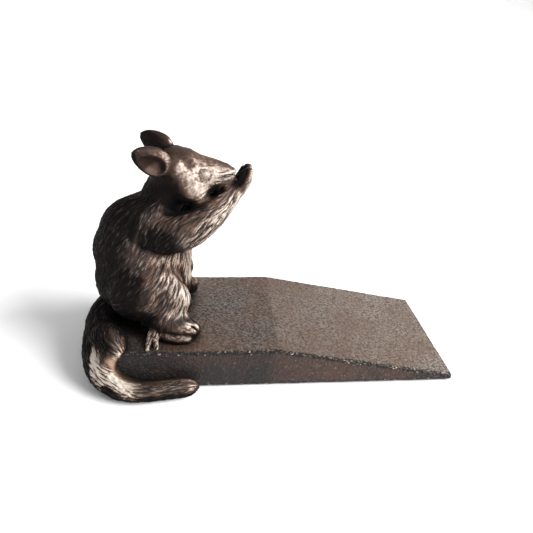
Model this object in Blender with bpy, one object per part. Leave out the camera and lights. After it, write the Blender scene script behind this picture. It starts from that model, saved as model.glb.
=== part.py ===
"""Cast iron door wedge with a sitting squirrel, as an assembly of castings and fasteners.

The wedge is an open-bottomed casting. The squirrel is cast in two halves that meet on the
wedge's middle plane, and its tail is a third casting that drops behind the wedge and runs
along one side. Screws from the hollow underside hold the castings together.

Lengths below are in millimetres, measured from the ridge line of the wedge: +X points to the
thin edge, -Y is the side the tail runs along, and Z is zero at the floor. place() turns them
into metres in the part's own frame, whose origin is the middle of its footprint on the floor.
"""
import math

import bmesh
import bpy
from mathutils import Matrix, Vector

MM = 0.001
GAP = 0.3                     # clearance kept between touching pieces

# Footprint: where the middle of the whole object's box lies in the ridge frame.
MID_X = -2.35
MID_Y = -5.1

# Wedge casting
WEDGE_BACK = -71.0            # thick end
WEDGE_TIP = 79.0              # thin end
WEDGE_WIDTH = 64.0
WEDGE_FLOOR = 0.5             # underside, held off the floor by the pads
WEDGE_TOP = 18.6              # flat top
WEDGE_TIP_TOP = 3.4
EDGE_ROUND = 0.9
WALL = 5.0
ROOF = 5.0
RIB = 4.0
POCKET_END = 40.0             # where the hollow stops under the thin end
POCKET_CORNER = 5.0

# Pads
PAD_RADIUS = 5.0
PAD_THICK = 1.3
PAD_BOSS_RADIUS = 6.6
PAD_REAR_X = -63.2
PAD_FRONT_X = 58.0
PAD_Y = 24.4

# Screws from beneath
FIGURE_SCREW_X = -58.0
FIGURE_SCREW_Y = 9.0
SCREW_RADIUS = 2.0
HEAD_ACROSS_CORNERS = 8.0
HEAD_HEIGHT = 2.8
WASHER_RADIUS = 5.0
WASHER_THICK = 1.0
FIGURE_SCREW_END = 37.0
TAIL_SCREW_Y = -13.0
TAIL_SCREW_Z = 8.6
TAIL_SCREW_END = -80.0

# Screw and pins across the two halves of the figure
TIE_X, TIE_Z = -60.0, 50.0
TIE_HEAD_Y = 13.2             # underside of the screw head
TIE_HEAD_RADIUS = 3.8
TIE_HEAD_HEIGHT = 2.4
TIE_SLOT_WIDTH = 1.0
TIE_END_Y = -12.5
DOWEL_RADIUS = 1.9
DOWEL_HALF_LENGTH = 6.5
UPPER_DOWEL = (-42.0, 83.0)
LOWER_DOWEL = (-46.0, 31.0)
CORE_CENTRE = (-60.0, 0.0, 45.0)
CORE_RADII = (7.8, 8.5, 21.0)

# Sculpted castings
FIGURE_VOXEL = 2.8
TAIL_VOXEL = 2.4
ROUND_SEGMENTS = 24


def place(x, y, z):
    """A point of the ridge frame, in metres in the part's frame."""
    return Vector((x - MID_X, y - MID_Y, z)) * MM


def material(name, colour, roughness, metallic):
    """A Principled material with one colour."""
    made = bpy.data.materials.new(name)
    made.use_nodes = True
    shader = made.node_tree.nodes["Principled BSDF"]
    shader.inputs["Base Color"].default_value = (*colour, 1.0)
    shader.inputs["Roughness"].default_value = roughness
    shader.inputs["Metallic"].default_value = metallic
    return made


def add_object(name, bm, finish=None):
    """Write a bmesh into a new object of the scene."""
    bmesh.ops.recalc_face_normals(bm, faces=bm.faces)
    mesh = bpy.data.meshes.new(name)
    bm.to_mesh(mesh)
    bm.free()
    made = bpy.data.objects.new(name, mesh)
    bpy.context.scene.collection.objects.link(made)
    if finish is not None:
        mesh.materials.append(finish)
    return made


def add_tool(name, bm):
    """A cutter: it shapes other objects and is not a piece itself."""
    made = add_object(name, bm)
    made.hide_render = True
    made.display_type = "WIRE"
    return made


def boolean(target, tool, operation="DIFFERENCE"):
    """Cut or join a target with a tool, with the exact solver."""
    step = target.modifiers.new(tool.name, "BOOLEAN")
    step.operation = operation
    step.solver = "EXACT"
    step.object = tool


def drill(target, name, shapes):
    """Cut a list of shapes one after another; each is a function and its arguments."""
    for number, (shape, *values) in enumerate(shapes):
        bm = bmesh.new()
        shape(bm, *values)
        boolean(target, add_tool(f"{name}_{number}", bm))


def box(bm, low, high):
    """A box between two corners of the ridge frame."""
    low, high = place(*low), place(*high)
    size = high - low
    matrix = Matrix.Translation((low + high) / 2) @ Matrix.Diagonal((*size, 1.0))
    return bmesh.ops.create_cube(bm, size=1.0, matrix=matrix)["verts"]


def rod(bm, start, end, radius, segments=ROUND_SEGMENTS):
    """A round bar between two points of the ridge frame."""
    a, b = place(*start), place(*end)
    turn = (b - a).to_track_quat("Z", "Y").to_matrix().to_4x4()
    matrix = Matrix.Translation((a + b) / 2) @ turn
    bmesh.ops.create_cone(
        bm, cap_ends=True, segments=segments, radius1=radius * MM, radius2=radius * MM,
        depth=(b - a).length, matrix=matrix)


def turned(bm, axis_start, direction, profile, segments=ROUND_SEGMENTS):
    """Spin a profile of (radius, distance) steps round an axis; both its ends are at radius 0."""
    origin = place(*axis_start)
    direction = Vector(direction).normalized()
    side = direction.orthogonal().normalized()
    verts = [bm.verts.new(origin + side * (r * MM) + direction * (d * MM)) for r, d in profile]
    edges = [bm.edges.new(pair) for pair in zip(verts, verts[1:])]
    bmesh.ops.spin(
        bm, geom=verts + edges, cent=origin, axis=direction, angle=math.tau,
        steps=segments, use_merge=True)
    bmesh.ops.remove_doubles(bm, verts=bm.verts, dist=1e-6)
    bmesh.ops.dissolve_degenerate(bm, edges=bm.edges, dist=1e-6)


def ball(bm, centre, radii, tilt=0.0, turn=0.0, grow=0.0, detail=3):
    """An ellipsoid mass. tilt leans it about Y and turn about Z, in degrees."""
    sizes = [(r + grow) * MM for r in radii]
    rotation = (Matrix.Rotation(math.radians(turn), 4, "Z")
                @ Matrix.Rotation(math.radians(tilt), 4, "Y"))
    matrix = Matrix.Translation(place(*centre)) @ rotation @ Matrix.Diagonal((*sizes, 1.0))
    bmesh.ops.create_icosphere(bm, subdivisions=detail, radius=1.0, matrix=matrix)


def smooth_path(stations, steps):
    """Points on a Catmull-Rom curve through stations of equal-length number tuples."""
    ends = [stations[0], *stations, stations[-1]]
    path = []
    for a, b, c, d in zip(ends, ends[1:], ends[2:], ends[3:]):
        for i in range(steps):
            t = i / steps
            path.append(tuple(
                0.5 * (2 * q + (r - p) * t + (2 * p - 5 * q + 4 * r - s) * t * t
                       + (3 * q - p - 3 * r + s) * t ** 3)
                for p, q, r, s in zip(a, b, c, d)))
    path.append(stations[-1])
    return path


def limb(bm, stations, steps=6, grow=0.0):
    """A tapered limb: balls on a smooth line of (x, y, z, radius[, half height]) stations."""
    for x, y, z, radius, *height in smooth_path(stations, steps):
        ball(bm, (x, y, z), (radius, radius, *(height or (radius,))), grow=grow, detail=2)


# ---------------------------------------------------------------- sculpted masses

TORSO = (                     # centre, radii, tilt
    ((-57.6, 0.0, 37.0), (20.9, 17.5, 21.0), 0.0),
    ((-57.2, 0.0, 49.5), (21.0, 16.5, 18.5), 10.0),
    ((-54.0, 0.0, 62.0), (14.0, 14.5, 13.2), 35.0),
    ((-60.0, 0.0, 24.0), (14.0, 12.5, 9.0), 0.0),
)
HEAD = (
    ((-47.0, 0.0, 75.5), (9.0, 9.5, 10.5), 35.0),
    ((-40.6, 0.0, 84.2), (12.0, 11.4, 10.6), 10.0),
    ((-32.0, 0.0, 83.6), (11.0, 8.4, 8.0), 12.0),
)
SIDE_MASSES = (               # near side; the far side mirrors them
    ((-37.0, 5.8, 79.0), (8.0, 4.8, 5.6), 20.0),       # cheek
    ((-53.0, 12.5, 67.0), (7.0, 4.5, 8.0), 30.0),      # shoulder
    ((-55.5, 14.5, 37.0), (15.5, 8.0, 13.5), -25.0),   # haunch
    ((-45.4, 16.0, 35.5), (8.5, 6.0, 10.5), -30.0),    # knee
    ((-51.2, 10.8, 92.0), (7.0, 2.9, 7.2), -35.0),     # ear
)
SNOUT = ((-33.0, 0.0, 84.5, 7.2), (-26.0, 0.0, 84.0, 5.6), (-21.0, 0.0, 83.6, 4.0))
UPPER_ARM = ((-53.5, 13.5, 68.5, 6.0), (-49.5, 15.5, 63.0, 6.2), (-45.0, 15.5, 59.5, 5.8))
FOREARM = ((-45.0, 15.5, 60.0, 5.6), (-34.5, 13.0, 65.0, 6.6), (-25.5, 9.0, 71.8, 5.8),
           (-18.6, 4.4, 77.8, 4.0), (-15.2, 2.6, 82.0, 3.2))
HAND = ((-15.2, 2.2, 80.5, 3.0), (-12.9, 1.9, 84.0, 2.4), (-12.2, 1.6, 86.0, 1.9))
SHIN = ((-48.0, 18.0, 29.0, 6.0), (-50.5, 18.8, 24.0, 4.6), (-50.0, 19.8, 21.0, 3.6))
FAR_FOOT_SPREAD = 0.8         # the far foot stands closer to the middle than the near one
FOOT = ((-50.0, 20.0, 21.4, 3.8), (-43.5, 20.4, 24.2, 5.6), (-38.8, 20.6, 23.4, 5.4),
        (-36.4, 20.8, 22.0, 4.2))
TAIL = (                      # x, y, z, half width, half height
    (-70.0, -4.0, 27.0, 6.0, 6.0), (-75.0, -7.5, 21.5, 6.6, 6.6),
    (-77.2, -14.5, 14.0, 6.9, 7.2), (-76.6, -25.0, 9.2, 6.4, 8.0),
    (-70.5, -33.6, 6.2, 6.2, 5.8), (-60.0, -37.4, 4.1, 5.6, 3.8),
    (-48.0, -37.2, 4.3, 5.1, 4.0), (-40.0, -36.8, 4.8, 4.6, 4.2), (-36.6, -36.2, 4.8, 3.6, 3.4))
TAIL_CREST = ((-77.0, -14.0, 16.0, 5.6, 5.6), (-72.0, -21.0, 19.8, 5.6, 5.6),
              (-66.2, -25.5, 21.0, 4.8, 5.2))


def mirrored(station, side):
    """A station or centre put on one side of the middle plane."""
    x, y, *rest = station
    return (x, y * side, *rest)


def figure_mass(grow=0.0):
    """All the squirrel's masses but the tail, as overlapping closed shells."""
    bm = bmesh.new()
    for centre, radii, tilt in TORSO + HEAD:
        ball(bm, centre, radii, tilt, grow=grow)
    limb(bm, SNOUT, grow=grow)
    for side in (-1, 1):
        for centre, radii, tilt in SIDE_MASSES:
            ball(bm, mirrored(centre, side), radii, tilt, grow=grow)
        for stations in (UPPER_ARM, FOREARM, HAND):
            limb(bm, [mirrored(s, side) for s in stations], grow=grow)
        spread = side if side < 0 else side * FAR_FOOT_SPREAD
        for stations in (SHIN, FOOT):
            limb(bm, [mirrored(s, spread) for s in stations], grow=grow)
    return bm


def tail_mass():
    """The tail's masses: the run down to the floor and the crest over the wedge's corner."""
    bm = bmesh.new()
    limb(bm, TAIL)
    limb(bm, TAIL_CREST)
    return bm


def fuse(made, voxel, smoothing):
    """Turn overlapping shells into one skin and soften the joins."""
    skin = made.modifiers.new("skin", "REMESH")
    skin.mode = "VOXEL"
    skin.voxel_size = voxel * MM
    soften = made.modifiers.new("soften", "SMOOTH")
    soften.factor = 0.5
    soften.iterations = smoothing


# ---------------------------------------------------------------- shared cutters

def wedge_outline(grow, top=None):
    """The wedge's side outline in (x, z), grown outwards."""
    tip_top = WEDGE_TIP_TOP + grow
    top = WEDGE_TOP + grow if top is None else top
    return ((WEDGE_BACK - grow, WEDGE_FLOOR - grow), (WEDGE_TIP + grow, WEDGE_FLOOR - grow),
            (WEDGE_TIP + grow, tip_top), (0.0, top), (WEDGE_BACK - grow, top))


def wedge_block(grow=0.0):
    """The wedge's outer block."""
    bm = bmesh.new()
    half = WEDGE_WIDTH / 2 + grow
    face = bm.faces.new([bm.verts.new(place(x, -half, z)) for x, z in wedge_outline(grow)])
    grown = bmesh.ops.extrude_face_region(bm, geom=[face])["geom"]
    across = [v for v in grown if isinstance(v, bmesh.types.BMVert)]
    bmesh.ops.translate(bm, verts=across, vec=(0.0, 2 * half * MM, 0.0))
    bmesh.ops.recalc_face_normals(bm, faces=bm.faces)
    return bm


def half_space(side):
    """A large box on one side of the figure's split, half a gap off the middle plane."""
    bm = bmesh.new()
    near, far = side * GAP / 2, side * 60.0
    box(bm, (-100.0, min(near, far), WEDGE_TOP + GAP), (0.0, max(near, far), 120.0))
    return bm


def figure_bores():
    """Holes in the squirrel for its screws and pins, and the core inside it."""
    wide = SCREW_RADIUS + GAP
    yield ball, CORE_CENTRE, CORE_RADII
    for side in (-1, 1):
        x, y = FIGURE_SCREW_X, side * FIGURE_SCREW_Y
        yield rod, (x, y, WEDGE_TOP - 1), (x, y, FIGURE_SCREW_END + 1), wide
    yield rod, (TIE_X, TIE_END_Y - 1, TIE_Z), (TIE_X, TIE_HEAD_Y + 1, TIE_Z), wide
    yield rod, (TIE_X, TIE_HEAD_Y - GAP, TIE_Z), (TIE_X, 40.0, TIE_Z), TIE_HEAD_RADIUS + 0.6
    reach = DOWEL_HALF_LENGTH + GAP
    for x, z in (UPPER_DOWEL, LOWER_DOWEL):
        yield rod, (x, -reach, z), (x, reach, z), DOWEL_RADIUS + GAP


# ---------------------------------------------------------------- pieces

def pocket(bm, x_low, x_high):
    """One bay of the wedge's hollow, with a roof that follows the top face."""
    half = WEDGE_WIDTH / 2 - WALL
    verts = box(bm, (x_low, -half, -2.0), (x_high, half, 1.0))
    middle = place(0, 0, 0).z
    for vert in verts:
        if vert.co.z > middle:
            vert.co.z = (top_height(vert.co.x / MM + MID_X) - ROOF) * MM
    uprights = [e for v in verts for e in v.link_edges
                if abs(e.verts[0].co.x - e.verts[1].co.x) < 1e-7
                and abs(e.verts[0].co.y - e.verts[1].co.y) < 1e-7]
    bmesh.ops.bevel(
        bm, geom=list(set(uprights)), offset=POCKET_CORNER * MM, segments=4, profile=0.5,
        affect="EDGES", material=-1)


def top_height(x):
    """Height of the wedge's top face at x."""
    if x <= 0.0:
        return WEDGE_TOP
    return WEDGE_TOP + (WEDGE_TIP_TOP - WEDGE_TOP) * x / WEDGE_TIP


def pad_spots():
    """Names and centres of the pads."""
    for y_name, side in (("near", -1), ("far", 1)):
        for x_name, x in (("rear", PAD_REAR_X), ("front", PAD_FRONT_X)):
            yield f"{y_name}_{x_name}_pad", x, side * PAD_Y


def wedge_holes():
    """The pad recesses and the three screw holes."""
    for _, x, y in pad_spots():
        yield rod, (x, y, -1.0), (x, y, PAD_THICK + GAP), PAD_RADIUS + GAP
    for side in (-1, 1):
        x, y = FIGURE_SCREW_X, side * FIGURE_SCREW_Y
        yield rod, (x, y, 8.0), (x, y, 30.0), SCREW_RADIUS + GAP
    y, z = TAIL_SCREW_Y, TAIL_SCREW_Z
    yield rod, (WEDGE_BACK - 5, y, z), (WEDGE_BACK + WALL + 2, y, z), SCREW_RADIUS + GAP


def build_wedge(finish):
    """The wedge casting: rounded block, three bays, pad bosses and screw holes."""
    bm = wedge_block()
    bmesh.ops.bevel(
        bm, geom=list(bm.edges), offset=EDGE_ROUND * MM, segments=2, profile=0.5,
        affect="EDGES", material=-1)
    wedge = add_object("wedge_base", bm, finish)

    bays = bmesh.new()
    stops = (WEDGE_BACK + WALL, -38.0, -2.0, POCKET_END)
    for low, high in zip(stops, stops[1:]):
        pocket(bays, low + (0.0 if low == stops[0] else RIB), high)
    bay_tool = add_tool("bay_cutter", bays)
    drill(bay_tool, "pad_boss", (
        (rod, (x, y, -5.0), (x, y, WEDGE_TOP), PAD_BOSS_RADIUS)
        for _, x, y in pad_spots() if x < 0))
    boolean(wedge, bay_tool)
    drill(wedge, "wedge_hole", wedge_holes())


def build_figure(near_finish, far_finish):
    """The squirrel's two half castings."""
    for name, side, finish in (("squirrel_near_half", -1, near_finish),
                               ("squirrel_far_half", 1, far_finish)):
        half = add_object(name, figure_mass(), finish)
        fuse(half, FIGURE_VOXEL, 3)
        boolean(half, add_tool(f"{name}_side", half_space(side)), "INTERSECT")
        drill(half, f"{name}_bore", figure_bores())


def build_tail(finish):
    """The tail casting, cut clear of the wedge and of the squirrel's back."""
    tail = add_object("tail", tail_mass(), finish)
    fuse(tail, TAIL_VOXEL, 2)
    boolean(tail, add_tool("tail_wedge_cutter", wedge_block(GAP)))
    rump = add_tool("rump_cutter", figure_mass(grow=0.7))
    fuse(rump, FIGURE_VOXEL, 3)
    boolean(tail, rump)
    y, z = TAIL_SCREW_Y, TAIL_SCREW_Z
    drill(tail, "tail_hole", (
        (rod, (WEDGE_BACK + 2, y, z), (TAIL_SCREW_END - 1, y, z), SCREW_RADIUS + GAP),
        (box, (-100.0, -60.0, -10.0), (0.0, 60.0, WEDGE_FLOOR))))


def build_screw(name, head_at, direction, length, finish):
    """A hexagon screw; head_at is where the head's seat meets the shank."""
    bm = bmesh.new()
    start = Vector(head_at)
    direction = Vector(direction)
    rod(bm, start - direction * HEAD_HEIGHT, start, HEAD_ACROSS_CORNERS / 2, segments=6)
    screw = add_object(name, bm, finish)
    shank = bmesh.new()
    turned(shank, start - direction, direction,
           ((0.0, 0.0), (SCREW_RADIUS, 0.0), (SCREW_RADIUS, length), (1.2, length + 1.0),
            (0.0, length + 1.0)))
    boolean(screw, add_tool(f"{name}_shank", shank), "UNION")


def build_washer(name, seat, direction, finish):
    """A flat washer with its free face on the screw head's side."""
    bm = bmesh.new()
    inner = SCREW_RADIUS + GAP
    origin = place(*seat)
    direction = Vector(direction).normalized()
    side = direction.orthogonal().normalized()
    profile = ((inner, 0.0), (WASHER_RADIUS, 0.0), (WASHER_RADIUS, WASHER_THICK),
               (inner, WASHER_THICK))
    verts = [bm.verts.new(origin + side * (r * MM) + direction * (d * MM)) for r, d in profile]
    edges = [bm.edges.new(pair) for pair in zip(verts, verts[1:] + verts[:1])]
    bmesh.ops.spin(
        bm, geom=verts + edges, cent=origin, axis=direction, angle=math.tau,
        steps=ROUND_SEGMENTS, use_merge=True)
    bmesh.ops.remove_doubles(bm, verts=bm.verts, dist=1e-6)
    add_object(name, bm, finish)


def build_fasteners(steel):
    """Screws, washers and pins."""
    roof_under = WEDGE_TOP - ROOF
    for name, side in (("near", -1), ("far", 1)):
        y = side * FIGURE_SCREW_Y
        seat = roof_under - GAP - WASHER_THICK
        build_washer(f"{name}_figure_washer", (FIGURE_SCREW_X, y, seat), (0, 0, 1), steel)
        build_screw(f"{name}_figure_screw", (FIGURE_SCREW_X, y, seat - GAP), (0, 0, 1),
                    FIGURE_SCREW_END - seat, steel)
    wall_inside = WEDGE_BACK + WALL
    seat = wall_inside + GAP + WASHER_THICK
    build_washer("tail_washer", (seat, TAIL_SCREW_Y, TAIL_SCREW_Z), (-1, 0, 0), steel)
    build_screw("tail_screw", (seat + GAP, TAIL_SCREW_Y, TAIL_SCREW_Z), (-1, 0, 0),
                seat - TAIL_SCREW_END, steel)

    bm = bmesh.new()
    rod(bm, (TIE_X, TIE_HEAD_Y, TIE_Z), (TIE_X, TIE_HEAD_Y + TIE_HEAD_HEIGHT, TIE_Z),
        TIE_HEAD_RADIUS)
    tie = add_object("tie_screw", bm, steel)
    shank = bmesh.new()
    rod(shank, (TIE_X, TIE_END_Y, TIE_Z), (TIE_X, TIE_HEAD_Y + 1, TIE_Z), SCREW_RADIUS)
    boolean(tie, add_tool("tie_shank", shank), "UNION")
    slot = bmesh.new()
    top = TIE_HEAD_Y + TIE_HEAD_HEIGHT
    half = TIE_SLOT_WIDTH / 2
    box(slot, (TIE_X - 6, top - 1.0, TIE_Z - half), (TIE_X + 6, top + 2.0, TIE_Z + half))
    boolean(tie, add_tool("tie_slot", slot))

    for name, (x, z) in (("upper_dowel", UPPER_DOWEL), ("lower_dowel", LOWER_DOWEL)):
        bm = bmesh.new()
        long, tip = DOWEL_HALF_LENGTH, DOWEL_RADIUS * 0.6
        turned(bm, (x, 0, z), (0, 1, 0),
               ((0, -long), (tip, -long), (DOWEL_RADIUS, 1 - long), (DOWEL_RADIUS, long - 1),
                (tip, long), (0, long)))
        add_object(name, bm, steel)


def build_pads(rubber):
    """Four round pads stuck in shallow recesses under the wedge."""
    for name, x, y in pad_spots():
        bm = bmesh.new()
        rod(bm, (x, y, 0.0), (x, y, PAD_THICK), PAD_RADIUS)
        add_object(name, bm, rubber)


def main():
    """Build every piece in the scene."""
    for old in list(bpy.data.objects):
        bpy.data.objects.remove(old)
    steel = material("zinc_steel", (0.42, 0.41, 0.40), 0.38, 1.0)
    rubber = material("black_rubber", (0.02, 0.02, 0.02), 0.85, 0.0)
    build_wedge(material("wedge_iron", (0.115, 0.085, 0.07), 0.5, 0.7))
    build_figure(material("near_iron", (0.14, 0.10, 0.085), 0.42, 0.8),
                 material("far_iron", (0.14, 0.10, 0.085), 0.42, 0.8))
    build_tail(material("tail_iron", (0.15, 0.10, 0.08), 0.42, 0.8))
    build_fasteners(steel)
    build_pads(rubber)


main()
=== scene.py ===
"""Looks of a cast iron door wedge with a squirrel on it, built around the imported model.

Sizes are in millimetres in the wedge's own frame: X is zero at the ridge and grows towards the
thin edge, Y is zero at the middle of the width, with the tail on the negative side, and Z is
zero at the floor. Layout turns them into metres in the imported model's frame.
"""

import logging
import math
from dataclasses import dataclass, field
from enum import Enum

import bmesh
import bpy
import numpy as np
from mathutils import Matrix, Vector, kdtree
from mathutils.bvhtree import BVHTree


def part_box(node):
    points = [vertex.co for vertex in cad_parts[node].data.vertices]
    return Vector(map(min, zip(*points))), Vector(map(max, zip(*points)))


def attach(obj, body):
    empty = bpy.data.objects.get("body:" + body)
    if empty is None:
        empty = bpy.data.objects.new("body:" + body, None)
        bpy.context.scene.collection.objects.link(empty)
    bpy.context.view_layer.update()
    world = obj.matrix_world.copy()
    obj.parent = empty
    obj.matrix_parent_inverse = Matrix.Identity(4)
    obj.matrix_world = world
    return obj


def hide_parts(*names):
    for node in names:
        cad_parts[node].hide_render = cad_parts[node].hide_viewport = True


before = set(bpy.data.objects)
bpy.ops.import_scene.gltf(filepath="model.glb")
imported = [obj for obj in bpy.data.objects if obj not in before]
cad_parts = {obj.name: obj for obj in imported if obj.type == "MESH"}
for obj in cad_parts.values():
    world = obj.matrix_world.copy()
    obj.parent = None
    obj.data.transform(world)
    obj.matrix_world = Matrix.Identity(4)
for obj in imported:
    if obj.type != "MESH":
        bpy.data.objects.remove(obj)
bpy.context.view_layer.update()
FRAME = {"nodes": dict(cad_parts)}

LOG = logging.getLogger("door_wedge")
MM = 0.001
FAR_OFF = 1e9                 # a distance in millimetres beyond every real one
ROOT = "root"
WEDGE_HALF_WIDTH = 32.0       # millimetres

Point = tuple[float, float, float]
Station = tuple[float, ...]
Colour = tuple[float, float, float]


# ------------------------------------------------------------------ places and numbers

@dataclass(frozen=True)
class Layout:
    """Where the wedge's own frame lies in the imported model."""

    ridge_x: float
    mid_y: float
    top_z: float
    back_x: float = -71.0

    @classmethod
    def from_frame(cls) -> "Layout":
        """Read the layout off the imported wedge.

        Returns:
            The layout, in metres.
        """
        low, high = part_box("wedge_base")
        return cls(low[0] - cls.back_x * MM, (low[1] + high[1]) / 2, high[2])

    def at(self, x: float, y: float, z: float) -> Vector:
        """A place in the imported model's frame.

        Args:
            x: Millimetres from the ridge, towards the thin edge.
            y: Millimetres from the middle of the width.
            z: Millimetres above the floor.

        Returns:
            The place in metres.
        """
        return Vector((self.ridge_x + x * MM, self.mid_y + y * MM, z * MM))

    def to_local(self, coords: np.ndarray) -> np.ndarray:
        """Turn packed-model metres into the wedge's own millimetres.

        Args:
            coords: Rows of x, y, z in metres.

        Returns:
            Rows of x, y, z in millimetres.
        """
        return (coords - self._origin()) / MM

    def to_frame(self, points: np.ndarray) -> np.ndarray:
        """Turn the wedge's own millimetres into packed-model metres.

        Args:
            points: Rows of x, y, z in millimetres.

        Returns:
            Rows of x, y, z in metres.
        """
        return points * MM + self._origin()

    def _origin(self) -> np.ndarray:
        """The wedge frame's origin in metres."""
        return np.array((self.ridge_x, self.mid_y, 0.0))


def ramp(values: np.ndarray, low: float, high: float) -> np.ndarray:
    """Ease values from 0 at low to 1 at high.

    Args:
        values: Any numbers.
        low: Where the ease starts.
        high: Where it ends; it may be below low.

    Returns:
        Numbers from 0 to 1.
    """
    t = np.clip((values - low) / (high - low), 0.0, 1.0)
    return t * t * (3.0 - 2.0 * t)


def lattice(cells: np.ndarray, seed: int) -> np.ndarray:
    """A repeatable random number from 0 to 1 for each whole-number cell.

    Args:
        cells: Rows of three whole numbers.
        seed: Picks one of many lattices.

    Returns:
        One number a row.
    """
    mixed = (cells[:, 0] * 73856093) ^ (cells[:, 1] * 19349663) ^ (cells[:, 2] * 83492791)
    mixed = (mixed ^ (seed * 2654435761)) & 0xFFFFFFFF
    mixed = ((mixed ^ (mixed >> 15)) * 2246822519) & 0xFFFFFFFF
    mixed = ((mixed ^ (mixed >> 13)) * 3266489917) & 0xFFFFFFFF
    return ((mixed ^ (mixed >> 16)) & 0xFFFFFF) / float(0xFFFFFF)


def grain(points: np.ndarray, size: float, seed: int) -> np.ndarray:
    """Smooth solid noise.

    Args:
        points: Rows of x, y, z.
        size: Length of one cell, in the points' unit.
        seed: Picks the pattern.

    Returns:
        Numbers from -1 to 1, one a row.
    """
    scaled = points / size
    base = np.floor(scaled).astype(np.int64)
    t = scaled - base
    t = t * t * (3.0 - 2.0 * t)
    total = np.zeros(len(points))
    for dx in (0, 1):
        for dy in (0, 1):
            for dz in (0, 1):
                share = np.abs((1 - dx - t[:, 0]) * (1 - dy - t[:, 1]) * (1 - dz - t[:, 2]))
                total += share * lattice(base + np.array((dx, dy, dz)), seed)
    return total * 2.0 - 1.0


def smooth_path(stations: tuple[Station, ...], steps: int) -> list[Station]:
    """Points on a Catmull-Rom curve.

    Args:
        stations: Tuples of equal length that the curve goes through.
        steps: Points for each stretch between two stations.

    Returns:
        The points, with the last station at the end.
    """
    ends = [stations[0], *stations, stations[-1]]
    path: list[Station] = []
    for a, b, c, d in zip(ends, ends[1:], ends[2:], ends[3:]):
        for i in range(steps):
            t = i / steps
            path.append(tuple(
                0.5 * (2 * q + (r - p) * t + (2 * p - 5 * q + 4 * r - s) * t * t
                       + (3 * q - p - 3 * r + s) * t ** 3)
                for p, q, r, s in zip(a, b, c, d)))
    path.append(stations[-1])
    return path


# ------------------------------------------------------------------ mesh help

def new_object(name: str, mesh: bpy.types.Mesh) -> bpy.types.Object:
    """Put a mesh in the scene at the origin.

    Args:
        name: The object's name.
        mesh: Its mesh.

    Returns:
        The object.
    """
    made = bpy.data.objects.new(name, mesh)
    bpy.context.scene.collection.objects.link(made)
    return made


def from_bmesh(name: str, bm: bmesh.types.BMesh) -> bpy.types.Object:
    """Turn a bmesh into an object and free it.

    Args:
        name: The name of the object and its mesh.
        bm: The bmesh, used up here.

    Returns:
        The object.
    """
    mesh = bpy.data.meshes.new(name)
    bm.to_mesh(mesh)
    bm.free()
    return new_object(name, mesh)


def settle(obj: bpy.types.Object) -> None:
    """Replace an object's mesh with its evaluated one and drop its modifiers.

    Args:
        obj: The object, changed in place.
    """
    graph = bpy.context.evaluated_depsgraph_get()
    graph.update()
    mesh = bpy.data.meshes.new_from_object(obj.evaluated_get(graph), depsgraph=graph)
    old = obj.data
    obj.modifiers.clear()
    obj.data = mesh
    bpy.data.meshes.remove(old)


def discard(obj: bpy.types.Object) -> None:
    """Remove a helper object and its mesh.

    Args:
        obj: The object, gone afterwards.
    """
    mesh = obj.data
    bpy.data.objects.remove(obj)
    bpy.data.meshes.remove(mesh)


def remesh(obj: bpy.types.Object, voxel: float, smoothing: int) -> None:
    """Fuse an object's shells into one skin and soften it.

    Args:
        obj: The object, changed in place.
        voxel: Size of the skin's faces, in millimetres.
        smoothing: Passes of smoothing.
    """
    skin = obj.modifiers.new("skin", "REMESH")
    skin.mode = "VOXEL"
    skin.voxel_size = voxel * MM
    if smoothing:
        soften = obj.modifiers.new("soften", "SMOOTH")
        soften.factor = 0.5
        soften.iterations = smoothing
    settle(obj)


def point_tree(points: np.ndarray) -> kdtree.KDTree:
    """A tree that finds points near a place.

    Args:
        points: Rows of x, y, z.

    Returns:
        The balanced tree; it answers with row numbers.
    """
    tree = kdtree.KDTree(len(points))
    for i, co in enumerate(points):
        tree.insert(co, i)
    tree.balance()
    return tree


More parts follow.
